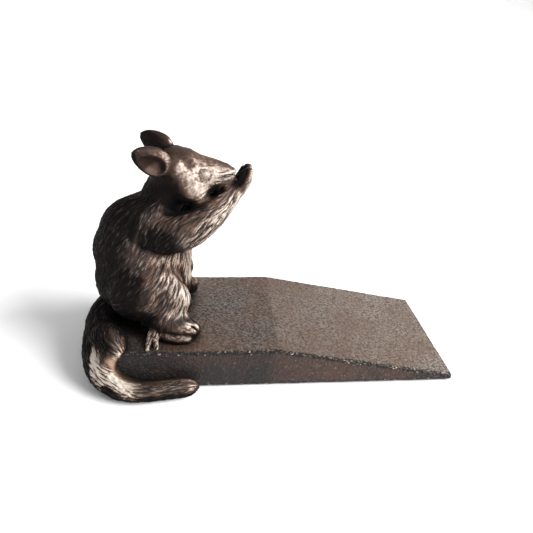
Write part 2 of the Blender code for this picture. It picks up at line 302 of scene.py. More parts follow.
@dataclass
class Skin:
    """A mesh's points as arrays in the wedge's own millimetres, to be moved and written back."""

    mesh: bpy.types.Mesh
    layout: Layout
    points: np.ndarray = field(init=False)
    normals: np.ndarray = field(init=False)
    edges: np.ndarray = field(init=False)

    def __post_init__(self) -> None:
        """Read the mesh."""
        self.points = self.layout.to_local(self._rows("co"))
        self.normals = self._rows("normal")
        ends = np.empty(len(self.mesh.edges) * 2, dtype=np.int32)
        self.mesh.edges.foreach_get("vertices", ends)
        self.edges = ends.reshape(-1, 2)

    def _rows(self, name: str) -> np.ndarray:
        """Read a property of the vertices.

        Args:
            name: The property, such as co or normal.

        Returns:
            Rows of three numbers.
        """
        flat = np.empty(len(self.mesh.vertices) * 3, dtype=np.float32)
        self.mesh.vertices.foreach_get(name, flat)
        return flat.reshape(-1, 3).astype(float)

    def average(self, values: np.ndarray, passes: int) -> np.ndarray:
        """Blur numbers over the surface.

        Args:
            values: One number, or one row, for each point.
            passes: How often each point takes the mean of its neighbours.

        Returns:
            The blurred numbers.
        """
        columns = values.reshape(len(values), -1).copy()
        a, b = self.edges[:, 0], self.edges[:, 1]
        size = len(columns)
        links = np.bincount(a, minlength=size) + np.bincount(b, minlength=size)
        links = np.maximum(links, 1)
        for _ in range(passes):
            for k in range(columns.shape[1]):
                column = columns[:, k]
                total = (np.bincount(a, column[b], minlength=size)
                         + np.bincount(b, column[a], minlength=size))
                columns[:, k] = 0.5 * column + 0.5 * total / links
        return columns.reshape(values.shape)

    def bulge(self, passes: int) -> np.ndarray:
        """How far each point stands out of the blurred surface, in millimetres."""
        return np.einsum("ij,ij->i", self.points - self.average(self.points, passes), self.normals)

    def push(self, amount: np.ndarray) -> None:
        """Move each point along its normal and write the mesh back.

        Args:
            amount: Millimetres for each point.
        """
        self.points = self.points + self.normals * amount[:, None]
        coords = self.layout.to_frame(self.points).astype(np.float32)
        self.mesh.vertices.foreach_set("co", coords.ravel())
        self.mesh.update()
        self.normals = self._rows("normal")

    def store(self, name: str, values: np.ndarray) -> None:
        """Keep one number a point on the mesh for the materials to read.

        Args:
            name: The attribute's name.
            values: One number a point.
        """
        kept = self.mesh.attributes.new(name, "FLOAT", "POINT")
        kept.data.foreach_set("value", values.astype(np.float32))


# ------------------------------------------------------------------ clay

@dataclass(frozen=True)
class Mass:
    """An ellipsoid of clay, in millimetres and degrees.

    It leans about Y by tilt, then turns about Z. A taper above zero narrows its own +X end.
    """

    centre: Point
    radii: Point
    tilt: float = 0.0
    turn: float = 0.0
    taper: float = 0.0


@dataclass
class Clay:
    """Overlapping closed shells that a remesh fuses into one skin."""

    layout: Layout
    bm: bmesh.types.BMesh = field(default_factory=bmesh.new)

    def ball(self, mass: Mass, side: float = 1.0, detail: int = 4) -> None:
        """Add an ellipsoid.

        Args:
            mass: Its place and size.
            side: Multiplies the place's Y, so -1 mirrors it.
            detail: Subdivisions of the sphere.
        """
        x, y, z = mass.centre
        sizes = [r * MM for r in mass.radii]
        turn = math.radians(mass.turn) * (1.0 if side > 0 else -1.0)
        matrix = (Matrix.Translation(self.layout.at(x, y * side, z))
                  @ Matrix.Rotation(turn, 4, "Z")
                  @ Matrix.Rotation(math.radians(mass.tilt), 4, "Y")
                  @ Matrix.Diagonal((*sizes, 1.0)))
        made = bmesh.ops.create_icosphere(self.bm, subdivisions=detail, radius=1.0)["verts"]
        for vert in made:
            narrow = 1.0 - mass.taper * vert.co.x
            vert.co = matrix @ Vector((vert.co.x, vert.co.y * narrow, vert.co.z * narrow))

    def limb(self, stations: tuple[Station, ...], side: float = 1.0, steps: int = 10,
             back: float = 0.0) -> None:
        """Add balls along a smooth line.

        Args:
            stations: x, y, z, radius and, where it differs, half height.
            side: Multiplies each station's Y.
            steps: Balls for each stretch between two stations.
            back: How far the line is set back along X, in millimetres.
        """
        for x, y, z, radius, *height in smooth_path(stations, steps):
            radii = (radius, radius, *(height or (radius,)))
            self.ball(Mass((x - back, y, z), radii), side, detail=3)

    def absorb(self, obj: bpy.types.Object) -> None:
        """Add an object's mesh and discard the object."""
        self.bm.from_mesh(obj.data)
        discard(obj)

    def fuse(self, name: str, voxel: float, smoothing: int) -> bpy.types.Object:
        """Make one skin of all the shells.

        Args:
            name: The new object's name.
            voxel: Size of the skin's faces, in millimetres.
            smoothing: Passes of smoothing.

        Returns:
            The object.
        """
        made = from_bmesh(name, self.bm)
        remesh(made, voxel, smoothing)
        return made


def scooped(layout: Layout, body: Mass, hollow: Mass, side: float) -> bpy.types.Object:
    """An ellipsoid with another cut out of it, such as an ear.

    Args:
        layout: Where the wedge's frame lies.
        body: The outer shape.
        hollow: The shape cut away.
        side: Multiplies each centre's Y.

    Returns:
        The object.
    """
    shell, tool = Clay(layout), Clay(layout)
    shell.ball(body, side)
    tool.ball(hollow, side)
    made, cutter = from_bmesh("shell", shell.bm), from_bmesh("cutter", tool.bm)
    cut = made.modifiers.new("cut", "BOOLEAN")
    cut.operation, cut.solver, cut.object = "DIFFERENCE", "EXACT", cutter
    settle(made)
    discard(cutter)
    return made


@dataclass(frozen=True)
class Crease:
    """A line pressed into the surface, or raised from it where depth is below zero."""

    path: tuple[Point, ...]
    width: float
    depth: float

    def press(self, skin: Skin, side: float) -> np.ndarray:
        """How far the line moves each point.

        Args:
            skin: The surface.
            side: Multiplies the path's Y.

        Returns:
            Millimetres along the normal for each point.
        """
        line = np.array(smooth_path(self.path, 12))
        line[:, 1] *= side
        moved = np.zeros(len(skin.points))
        reach = self.width * 2.2
        near = np.all((skin.points > line.min(0) - reach) & (skin.points < line.max(0) + reach), 1)
        index = np.nonzero(near)[0]
        if not len(index):
            return moved
        gaps = np.linalg.norm(skin.points[index][:, None, :] - line[None, :, :], axis=2)
        fade = np.sin(np.linspace(0.12, math.pi - 0.12, len(line)))[gaps.argmin(1)] ** 0.5
        moved[index] = -self.depth * fade * np.exp(-(gaps.min(1) / self.width) ** 2)
        return moved


# ------------------------------------------------------------------ fur

@dataclass(frozen=True)
class Spot:
    """A place whose finish is set apart from what its lie alone makes it: darker with painted shade
    in one list, brighter with wear and painted highlight in another.
    """

    centre: Point
    reach: float
    amount: float

    def cover(self, points: np.ndarray) -> np.ndarray:
        """How strongly the spot marks each point, on either side.

        Args:
            points: An (n, 3) array in ridge millimetres.

        Returns:
            From 0 outside to the amount within.
        """
        x, y, z = self.centre
        folded = np.stack((points[:, 0], np.abs(points[:, 1]), points[:, 2]), axis=1)
        gap = np.linalg.norm(folded - np.array((x, abs(y), z)), axis=1)
        return self.amount * ramp(gap / self.reach, 1.45, 0.35)


class Hair(Enum):
    """Kinds of carved hair: length, width and height in millimetres, and strokes a point."""

    BODY = (5.2, 0.72, 0.36, 1.0)
    ARM = (5.0, 0.8, 0.36, 1.1)
    FACE = (1.7, 0.75, 0.11, 0.8)
    TAIL = (5.6, 0.85, 0.5, 1.0)
    PAW = (2.0, 0.7, 0.08, 0.8)
    CUT = (7.0, 0.6, 0.34, 0.17)
    GLINT = (4.2, 0.5, 0.2, 0.10)


@dataclass
class Comb:
    """Carves overlapping strokes of hair into a skin."""

    skin: Skin
    rng: np.random.Generator
    cover: float = 3.0

    def carve(self, flow: np.ndarray, kinds: dict[Hair, np.ndarray]) -> np.ndarray:
        """Lay strokes over the surface.

        Args:
            flow: The way the hair lies at each point, as unit rows.
            kinds: For each kind of hair, how much of it grows at each point, from 0 to 1.

        Returns:
            The hair's height at each point, in millimetres.
        """
        points, ends = self.skin.points, self.skin.edges
        tree = point_tree(points)
        spacing = np.linalg.norm(points[ends[:, 0]] - points[ends[:, 1]], axis=1).mean()
        height = np.zeros(len(points))
        for kind, growth in kinds.items():
            length, width, tall, crowd = kind.value
            where = np.nonzero(growth > 0.02)[0]
            area = growth[where].sum() * spacing ** 2
            count = int(self.cover * crowd * area / (length * width))
            if not count:
                continue
            share = growth[where] / growth[where].sum()
            for seed in self.rng.choice(where, size=count, p=share):
                scale = growth[seed] ** 0.5
                self._stroke(tree, height, int(seed), flow,
                             length * self.rng.uniform(0.6, 1.25),
                             width * self.rng.uniform(0.7, 1.3),
                             tall * scale * self.rng.uniform(0.45, 1.0))
        return height

    def _stroke(self, tree: kdtree.KDTree, height: np.ndarray, seed: int, flow: np.ndarray,
                length: float, width: float, tall: float) -> None:
        """Raise one tapered stroke.

        Args:
            tree: Finds points near a place.
            height: The heights so far, changed in place.
            seed: The point at the stroke's middle.
            flow: The way the hair lies at each point.
            length: Length of the stroke.
            width: Its width.
            tall: Its height.
        """
        points, normals = self.skin.points, self.skin.normals
        turn = self.rng.normal(0.0, 0.13)
        along = flow[seed]
        across = np.cross(normals[seed], along)
        along = along * math.cos(turn) + across * math.sin(turn)
        across = np.cross(normals[seed], along)
        bend = self.rng.normal(0.0, 0.035)
        found = tree.find_range(points[seed], length * 0.5)
        index = np.fromiter((f[1] for f in found), dtype=np.int64, count=len(found))
        offset = points[index] - points[seed]
        run = offset @ along
        drift = offset @ across - bend * run * run
        taper = np.clip(1.0 - (2.0 * run / length) ** 2, 0.0, 1.0)
        half = 0.5 * width * (0.35 + 0.65 * taper)
        ridge = np.clip(1.0 - (drift / half) ** 2, 0.0, 1.0)
        facing = normals[index] @ normals[seed] > 0.35
        raised = tall * taper ** 0.6 * ridge * facing
        height[index] = np.maximum(height[index], raised)


@dataclass(frozen=True)
class Lie:
    """The way the hair lies at one place, on the near side."""

    place: Point
    way: Point


def flow_field(skin: Skin, lies: tuple[Lie, ...]) -> np.ndarray:
    """Spread a few hair directions over a surface whose far side mirrors the near one.

    Args:
        skin: The surface.
        lies: Directions at places on the near side.

    Returns:
        Unit rows that lie in the surface.
    """
    points = skin.points.copy()
    flip = np.where(points[:, 1] > 0, -1.0, 1.0)
    points[:, 1] = -np.abs(points[:, 1])
    total = np.zeros_like(points)
    for lie in lies:
        gap = np.linalg.norm(points - np.array(lie.place), axis=1)
        way = np.array(lie.way) / np.linalg.norm(lie.way)
        total += way / (gap[:, None] + 1.0) ** 3
    total[:, 1] *= flip
    return laid_flat(skin, total)


def laid_flat(skin: Skin, ways: np.ndarray) -> np.ndarray:
    """Turn directions into the surface.

    Args:
        skin: The surface.
        ways: One direction a point.

    Returns:
        Unit rows at right angles to the normals.
    """
    ways = ways - skin.normals * np.einsum("ij,ij->i", ways, skin.normals)[:, None]
    return ways / np.maximum(np.linalg.norm(ways, axis=1), 1e-9)[:, None]


def solid_tree(meshes: list[bpy.types.Mesh]) -> BVHTree:
    """One ray-cast tree of several meshes and the floor.

    Args:
        meshes: The meshes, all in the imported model's frame.

    Returns:
        The tree.
    """
    bm = bmesh.new()
    for mesh in meshes:
        bm.from_mesh(mesh)
    bmesh.ops.create_grid(bm, x_segments=1, y_segments=1, size=1.0)
    tree = BVHTree.FromBMesh(bm)
    bm.free()
    return tree


@dataclass
class Shelter:
    """How boxed in each part of a shape is, measured on a coarse copy of it."""

    tree: kdtree.KDTree
    closed: np.ndarray

    @classmethod
    def measure(cls, layout: Layout, coarse: bpy.types.Mesh, solid: BVHTree,
                reach: float = 26.0, rays: int = 20, lift: float = 0.4) -> "Shelter":
        """Look out from every point of the coarse shape.

        Args:
            layout: Where the wedge's frame lies.
            coarse: The coarse shape.
            solid: Everything that can shelter it.
            reach: How far away a neighbour still shelters, in millimetres.
            rays: Looks from each point.
            lift: How far off the surface each look starts, in millimetres.

        Returns:
            The measured shelter.
        """
        skin = Skin(coarse, layout)
        rng = np.random.default_rng(5)
        spray = rng.normal(size=(rays, 3))
        spray /= np.linalg.norm(spray, axis=1)[:, None]
        closed = np.zeros(len(skin.points))
        for i, (vert, normal) in enumerate(zip(coarse.vertices, skin.normals)):
            start = vert.co + Vector(normal) * (lift * MM)
            for way in normal + 0.98 * spray:
                if solid.ray_cast(start, Vector(way), reach * MM)[0] is not None:
                    closed[i] += 1.0
        return cls(point_tree(skin.points), skin.average(closed / rays, 3))

    def at(self, points: np.ndarray) -> np.ndarray:
        """The shelter at other points, from 0 in the open to 1 when closed in."""
        return np.array([self.closed[self.tree.find(p)[1]] for p in points])


def distance_to_path(points: np.ndarray, path: tuple[Station, ...], side: float) -> np.ndarray:
    """Distance from each point to a smooth line.

    Args:
        points: Rows of x, y, z.
        path: Stations whose first three numbers are a place.
        side: Multiplies each station's Y.

    Returns:
        One distance a row.
    """
    best = np.full(len(points), FAR_OFF)
    for station in smooth_path(path, 6):
        place = np.array((station[0], station[1] * side, station[2]))
        best = np.minimum(best, np.linalg.norm(points - place, axis=1))
    return best


def distance_to_pair(points: np.ndarray, path: tuple[Station, ...]) -> np.ndarray:
    """Distance from each point to a smooth line or its mirror image, whichever is nearer.

    Args:
        points: Rows of x, y, z.
        path: Stations whose first three numbers are a place.

    Returns:
        One distance a row.
    """
    return np.minimum(distance_to_path(points, path, -1.0), distance_to_path(points, path, 1.0))


RUBBED_AND_LIT_WAY = (0.84, 0.54, 0.04)   # what faces this way, Y counted outwards, is worn and painted lighter, towards the key light
SHADE_WAY = (0.95, 0.10, 0.25)    # what faces away from this gets painted shade


def store_wear_and_light(skin: Skin, closed: np.ndarray, bright: np.ndarray, dark: np.ndarray) -> None:
    """Keep where a casting is lighter, from wear and painted highlight, and where it is black, from
    patina and painted shade.

    Args:
        skin: The surface; it is worn and painted lighter where it faces forwards and to a side, and
            painted in shade where it faces away from the key light.
        closed: How sheltered each point is.
        bright: Where wear and painted highlight brighten it whichever way it faces, from 0 to 1.
        dark: Where patina and painted shade darken it whichever way it faces, from 0 to 1.
    """
    normals = skin.average(skin.normals, 12)
    normals[:, 1] = np.abs(normals[:, 1])
    open_air = ramp(closed, 0.40, 0.10)
    # Wear and painted highlight on what faces the key light, less where sheltered.
    rubbed_and_lit = ramp(normals @ np.array(RUBBED_AND_LIT_WAY), 0.40, 0.97) * (0.2 + 0.8 * open_air)
    skin.store("worn_and_lit", np.clip(np.maximum(rubbed_and_lit, bright) - dark, 0.0, 1.0))
    # Painted shade on the side away from the key light, in sheltered places together with patina,
    # and at the darker spots.
    away = ramp(normals @ np.array(SHADE_WAY), 0.26, -0.36)
    shade_sum = away + 1.2 * ramp(closed, 0.06, 0.32) + dark
    skin.store("patina_and_shade", np.clip(shade_sum * (1.0 - bright), 0.0, 1.0))
    skin.store("closed", ramp(closed, 0.12, 0.5) * (1.0 - bright))


# ------------------------------------------------------------------ finishes


@dataclass
class NodeSheet:
    """A short way to wire up a material's nodes."""

    material: bpy.types.Material

    @classmethod
    def start(cls, name: str) -> "NodeSheet":
        """Make a material with an empty Principled shader.

        Args:
            name: The material's name.

        Returns:
            The sheet to wire it on.
        """
        made = bpy.data.materials.new(name)
        made.use_nodes = True
        return cls(made)

    @property
    def shader(self) -> bpy.types.Node:
        """The Principled shader."""
        return self.material.node_tree.nodes["Principled BSDF"]

    def add(self, kind: str, **settings: object) -> bpy.types.Node:
        """Add a node and set its plain properties.

        Args:
            kind: The node's type.
            settings: Its properties by name.

        Returns:
            The node.
        """
        node = self.material.node_tree.nodes.new(kind)
        for name, value in settings.items():
            setattr(node, name, value)
        return node

    def link(self, source: bpy.types.NodeSocket, target: bpy.types.NodeSocket) -> None:
        """Join two sockets."""
        self.material.node_tree.links.new(source, target)

    def feed(self, target: bpy.types.NodeSocket, value: object) -> None:
        """Link a socket or set a plain value.

        Args:
            target: The input to fill.
            value: An output socket, a number or a colour.
        """
        if isinstance(value, bpy.types.NodeSocket):
            self.link(value, target)
        else:
            target.default_value = value

    def place(self) -> bpy.types.NodeSocket:
        """Object coordinates."""
        return self.add("ShaderNodeTexCoord").outputs["Object"]

    def kept(self, name: str) -> bpy.types.NodeSocket:
        """A number kept on the mesh."""
        return self.add("ShaderNodeAttribute", attribute_name=name).outputs["Fac"]

    def noise(self, size: float, detail: float = 3.0, rough: float = 0.6) -> bpy.types.NodeSocket:
        """Noise with features of about a size.

        Args:
            size: Millimetres from bump to bump.
            detail: Octaves.
            rough: How strong the finer octaves are.

        Returns:
            The noise's value.
        """
        node = self.add("ShaderNodeTexNoise")
        self.link(self.place(), node.inputs["Vector"])
        node.inputs["Scale"].default_value = 1.0 / (size * MM)
        node.inputs["Detail"].default_value = detail
        node.inputs["Roughness"].default_value = rough
        return node.outputs["Fac"]

    def cells(self, size: float) -> bpy.types.NodeSocket:
        """Distance to the nearest of points scattered about a size apart.

        Args:
            size: Millimetres from point to point.

        Returns:
            The distance, as a share of the size.
        """
        node = self.add("ShaderNodeTexVoronoi")
        self.link(self.place(), node.inputs["Vector"])
        node.inputs["Scale"].default_value = 1.0 / (size * MM)
        return node.outputs["Distance"]

    def math(self, kind: str, a: object, b: object = 0.0) -> bpy.types.NodeSocket:
        """Work out one number from two.

        Args:
            kind: The operation.
            a: The first number or socket.
            b: The second one.

        Returns:
            The result.
        """
        node = self.add("ShaderNodeMath", operation=kind)
        self.feed(node.inputs[0], a)
        self.feed(node.inputs[1], b)
        return node.outputs[0]

    def spread(self, value: object, low: float, high: float, out_low: float = 0.0,
               out_high: float = 1.0) -> bpy.types.NodeSocket:
        """Map a range of numbers to another, held at its ends.

        Args:
            value: The number or socket to map.
            low: Where the range starts.
            high: Where it ends; it may lie below the start.
            out_low: What the start becomes.
            out_high: What the end becomes.

        Returns:
            The mapped number.
        """
        node = self.add("ShaderNodeMapRange")
        self.feed(node.inputs["Value"], value)
        for socket, number in (("From Min", low), ("From Max", high),
                               ("To Min", out_low), ("To Max", out_high)):
            node.inputs[socket].default_value = number
        return node.outputs["Result"]

    def mix(self, share: object, a: object, b: object) -> bpy.types.NodeSocket:
        """Mix two colours by a share.

        Args:
            share: How much of the second one, from 0 to 1.
            a: The first colour or socket.
            b: The second one.

        Returns:
            The mixed colour.
        """
        node = self.add("ShaderNodeMix", data_type="RGBA")
        self.feed(node.inputs["Factor"], share)
        for socket, value in ((node.inputs[6], a), (node.inputs[7], b)):
            self.feed(socket, (*value, 1.0) if isinstance(value, tuple) else value)
        return node.outputs[2]

    def bump(self, height: bpy.types.NodeSocket, depth: float, strength: float = 1.0,
             after: bpy.types.NodeSocket | None = None) -> bpy.types.NodeSocket:
        """A bump normal.

        Args:
            height: The heights, from 0 to 1.
            depth: How deep a height of 1 is, in millimetres.
            strength: How much of the bump shows.
            after: Another bump to lay this one over.

        Returns:
            The normal.
        """
        node = self.add("ShaderNodeBump")
        node.inputs["Strength"].default_value = strength
        node.inputs["Distance"].default_value = depth * MM
        self.link(height, node.inputs["Height"])
        if after is not None:
            self.link(after, node.inputs["Normal"])
        return node.outputs["Normal"]


@dataclass(frozen=True)
class FigureIron:
    """Antique finish: black in hollows and on the side away from the key light, from patina and
    painted shade; copper brown between; bright where it stands out and towards the key light, from
    wear and painted highlight.
    """

    black: Colour = (0.0045, 0.004, 0.004)
    brown: Colour = (0.058, 0.029, 0.019)
    grey_brown: Colour = (0.020, 0.0145, 0.013)
    warm: Colour = (0.175, 0.092, 0.056)
    bright: Colour = (0.58, 0.52, 0.455)
    smooth: Colour = (0.30, 0.195, 0.13)

    def make(self, name: str) -> bpy.types.Material:
        """Build the material.

        Args:
            name: The material's name.

        Returns:
            The material; it reads relief, stand, smooth, worn, soot, closed and glint.
        """
        sheet = NodeSheet.start(name)
        relief, stand, smooth, rubbed_and_lit, patina_and_shade, closed, glint = (sheet.kept(n) for n in (
            "relief", "stand", "smooth", "worn_and_lit", "patina_and_shade", "closed", "glint"))
        patch = sheet.noise(11.0, 3.0, 0.55)
        fine = sheet.noise(0.6, 2.0, 0.6)
        tone = sheet.mix(sheet.spread(patch, 0.36, 0.54), self.grey_brown, self.brown)
        # Patina and painted shade: black on the side away from the key light, in sheltered places
        # and at the darker spots.
        tone = sheet.mix(sheet.math("MULTIPLY", patina_and_shade, 0.93), tone, self.black)
        level = sheet.math("ADD", relief, sheet.math("MULTIPLY", stand, 0.5))
        level = sheet.math("ADD", level, sheet.spread(fine, 0.3, 0.7, -0.15, 0.15))
        # Wear and painted light: warm copper where worn and towards the key light.
        tone = sheet.mix(sheet.spread(rubbed_and_lit, 0.0, 0.9), tone, self.warm)
        tone = sheet.mix(sheet.spread(level, 0.15, 0.85), self.black, tone)
        # Painted highlight on the fur's crests, strongest where worn and towards the key light,
        # with thin painted highlights on the glints.
        rub_and_highlight = sheet.math("MULTIPLY", level, sheet.spread(rubbed_and_lit, 0.0, 1.0, 0.42, 1.3))
        rub_and_highlight = sheet.math("SUBTRACT", rub_and_highlight, sheet.math("MULTIPLY", patina_and_shade, 0.12))
        rub_and_highlight = sheet.spread(rub_and_highlight, 0.50, 1.15, 0.0, 0.88)
        gleam = sheet.math("MULTIPLY", sheet.spread(glint, 0.3, 0.9, 0.0, 0.40),
                           sheet.spread(patina_and_shade, 0.0, 1.0, 1.0, 0.2))
        gleam = sheet.math("MULTIPLY", gleam, sheet.spread(closed, 0.0, 1.0, 1.0, 0.1))
        rub_and_highlight = sheet.math("MAXIMUM", rub_and_highlight, gleam)
        tone = sheet.mix(rub_and_highlight, tone, self.bright)
        mottled = sheet.mix(sheet.spread(fine, 0.35, 0.65), self.smooth, self.brown)
        cloud = sheet.noise(3.0, 3.0, 0.6)
        mottled = sheet.mix(sheet.spread(cloud, 0.4, 0.65), self.smooth, mottled)
        mottled = sheet.mix(sheet.math("MULTIPLY", patina_and_shade, 0.8), mottled, self.black)
        tone = sheet.mix(sheet.math("MULTIPLY", smooth, 0.9), tone, mottled)
        # Patina and painted shade in sheltered places.
        tone = sheet.mix(sheet.math("MULTIPLY", closed, 0.9), tone, self.black)
        shader = sheet.shader
        sheet.link(tone, shader.inputs["Base Color"])
        sheet.link(sheet.spread(fine, 0.3, 0.7, 0.46, 0.66), shader.inputs["Roughness"])
        sheet.link(sheet.spread(rub_and_highlight, 0.0, 0.6, 0.1, 0.6), shader.inputs["Metallic"])
        dull = sheet.math("MAXIMUM", patina_and_shade, closed)
        sheet.link(sheet.spread(dull, 0.0, 0.9, 0.36, 0.04), shader.inputs["Specular IOR Level"])
        pits = sheet.bump(sheet.noise(0.75, 3.0, 0.65), 0.16, 0.7)
        sheet.link(pits, shader.inputs["Normal"])
        return sheet.material


@dataclass(frozen=True)
class WedgeIron:
    """Sand-cast grain under a thin dark bronze lacquer, with painted light: a lighter top and
    slope, painted shade on the sides and under the squirrel, and painted highlights and a dark
    painted reflection on the grain and the edges.
    """

    dark: Colour = (0.015, 0.0125, 0.0135)
    brown: Colour = (0.075, 0.054, 0.046)
    speck_highlight: Colour = (0.42, 0.36, 0.30)
    rust: Colour = (0.075, 0.038, 0.026)
    rubbed_and_lit: Colour = (0.262, 0.212, 0.172)
    stain: Colour = (0.110, 0.060, 0.038)
    edge_dark_reflection: Colour = (0.006, 0.005, 0.005)
    shade: Colour = (0.005, 0.004, 0.004)

    def make(self, name: str) -> bpy.types.Material:
        """Build the material.

        Args:
            name: The material's name.

        Returns:
            The material; it reads edge, slope, flat, side, closed and foxed.
        """
        sheet = NodeSheet.start(name)
        edge, slope, flat, side, closed, warm_by_feet = (
            sheet.kept(n) for n in ("edge", "slope", "flat", "side", "closed", "warm_by_feet"))
        patch = sheet.noise(22.0, 3.0, 0.55)
        sand = sheet.noise(1.05, 2.0, 0.65)
        grit = sheet.cells(0.8)
        tone = sheet.mix(sheet.spread(sand, 0.36, 0.62, 0.3, 1.0), self.dark, self.brown)
        # Painted shade on the sides, more towards the back.
        tone = sheet.mix(sheet.math("MULTIPLY", side, 0.9), tone, self.dark)
        rusty = sheet.math("MULTIPLY", sheet.spread(patch, 0.4, 0.62, 0.0, 0.5),
                           sheet.spread(side, 0.0, 1.0, 1.0, 0.35))
        tone = sheet.mix(rusty, tone, self.rust)
        # Painted light: the flat top lighter on its high grain, the slope lighter still.
        high = sheet.spread(sand, 0.38, 0.62)
        tone = sheet.mix(sheet.math("MULTIPLY", sheet.math("MULTIPLY", flat, 0.42), high), tone,
                         self.rubbed_and_lit)
        tone = sheet.mix(sheet.math("MULTIPLY", slope, sheet.spread(sand, 0.40, 0.55, 0.18, 1.0)),
                         tone, self.rubbed_and_lit)
        # Painted highlights: light specks on the high grain, fewer on the sides.
        grains = sheet.math("MULTIPLY", sheet.spread(sand, 0.58, 0.72),
                            sheet.spread(grit, 0.5, 0.1))
        # Warmer brown stains in patches, and warmer brown on the top round the feet.
        spotted = sheet.math("MULTIPLY", sheet.spread(patch, 0.42, 0.66, 0.0, 0.5),
                             sheet.spread(side, 0.0, 1.0, 1.0, 0.3))
        spotted = sheet.math("MAXIMUM", spotted, sheet.math("MULTIPLY", warm_by_feet, 0.75))
        tone = sheet.mix(spotted, tone, self.stain)
        grains = sheet.math("MULTIPLY", grains, sheet.spread(side, 0.3, 1.0, 0.75, 0.3))
        tone = sheet.mix(grains, tone, self.speck_highlight)
        # Painted dark reflection along the rounded edges.
        line = sheet.math("MULTIPLY", edge, sheet.spread(sand, 0.64, 0.52))
        tone = sheet.mix(line, tone, self.edge_dark_reflection)
        # Light chips along the edges: painted highlight with wear.
        chips = sheet.math("MULTIPLY", edge, sheet.spread(sheet.noise(1.3, 2.0, 0.5), 0.64, 0.72))
        tone = sheet.mix(chips, tone, self.speck_highlight)
        # Painted shade where the top is boxed in under the squirrel and the tail.
        tone = sheet.mix(sheet.math("MULTIPLY", closed, 0.92), tone, self.shade)
        shader = sheet.shader
        sheet.link(tone, shader.inputs["Base Color"])
        sheet.link(sheet.spread(sand, 0.35, 0.65, 0.6, 0.4), shader.inputs["Roughness"])
        shader.inputs["Metallic"].default_value = 0.4
        shader.inputs["Specular IOR Level"].default_value = 0.4
        low = sheet.bump(sand, 0.75, 1.0)
        sheet.link(sheet.bump(grit, 0.16, 0.6, low), shader.inputs["Normal"])
        return sheet.material


@dataclass(frozen=True)
class ZincSteel:
    """Plain zinc-plated screws and washers."""

    tone: Colour = (0.46, 0.45, 0.43)
    dull: Colour = (0.24, 0.23, 0.22)

    def make(self, name: str) -> bpy.types.Material:
        """Build the material.

        Args:
            name: The material's name.

        Returns:
            The material.
        """
        sheet = NodeSheet.start(name)
        cloud = sheet.noise(2.5, 4.0, 0.6)
        fine = sheet.noise(0.25, 2.0, 0.5)
        shader = sheet.shader
        sheet.link(sheet.mix(sheet.spread(cloud, 0.4, 0.65), self.tone, self.dull),
                   shader.inputs["Base Color"])
        sheet.link(sheet.spread(cloud, 0.35, 0.65, 0.28, 0.5), shader.inputs["Roughness"])
        shader.inputs["Metallic"].default_value = 1.0
        sheet.link(sheet.bump(fine, 0.02, 0.4), shader.inputs["Normal"])
        return sheet.material


@dataclass(frozen=True)
class PadRubber:
    """Matt black rubber with dust on it."""

    tone: Colour = (0.018, 0.018, 0.019)
    dust: Colour = (0.06, 0.058, 0.055)

    def make(self, name: str) -> bpy.types.Material:
        """Build the material.

        Args:
            name: The material's name.

        Returns:
            The material.
        """
        sheet = NodeSheet.start(name)
        cloud = sheet.noise(1.6, 4.0, 0.65)
        weave = sheet.noise(0.3, 2.0, 0.6)
        shader = sheet.shader
        sheet.link(sheet.mix(sheet.spread(cloud, 0.45, 0.7), self.tone, self.dust),
                   shader.inputs["Base Color"])
        sheet.link(sheet.spread(cloud, 0.3, 0.7, 0.75, 0.95), shader.inputs["Roughness"])
        sheet.link(sheet.bump(weave, 0.05, 0.6), shader.inputs["Normal"])
        return sheet.material


# ------------------------------------------------------------------ the squirrel

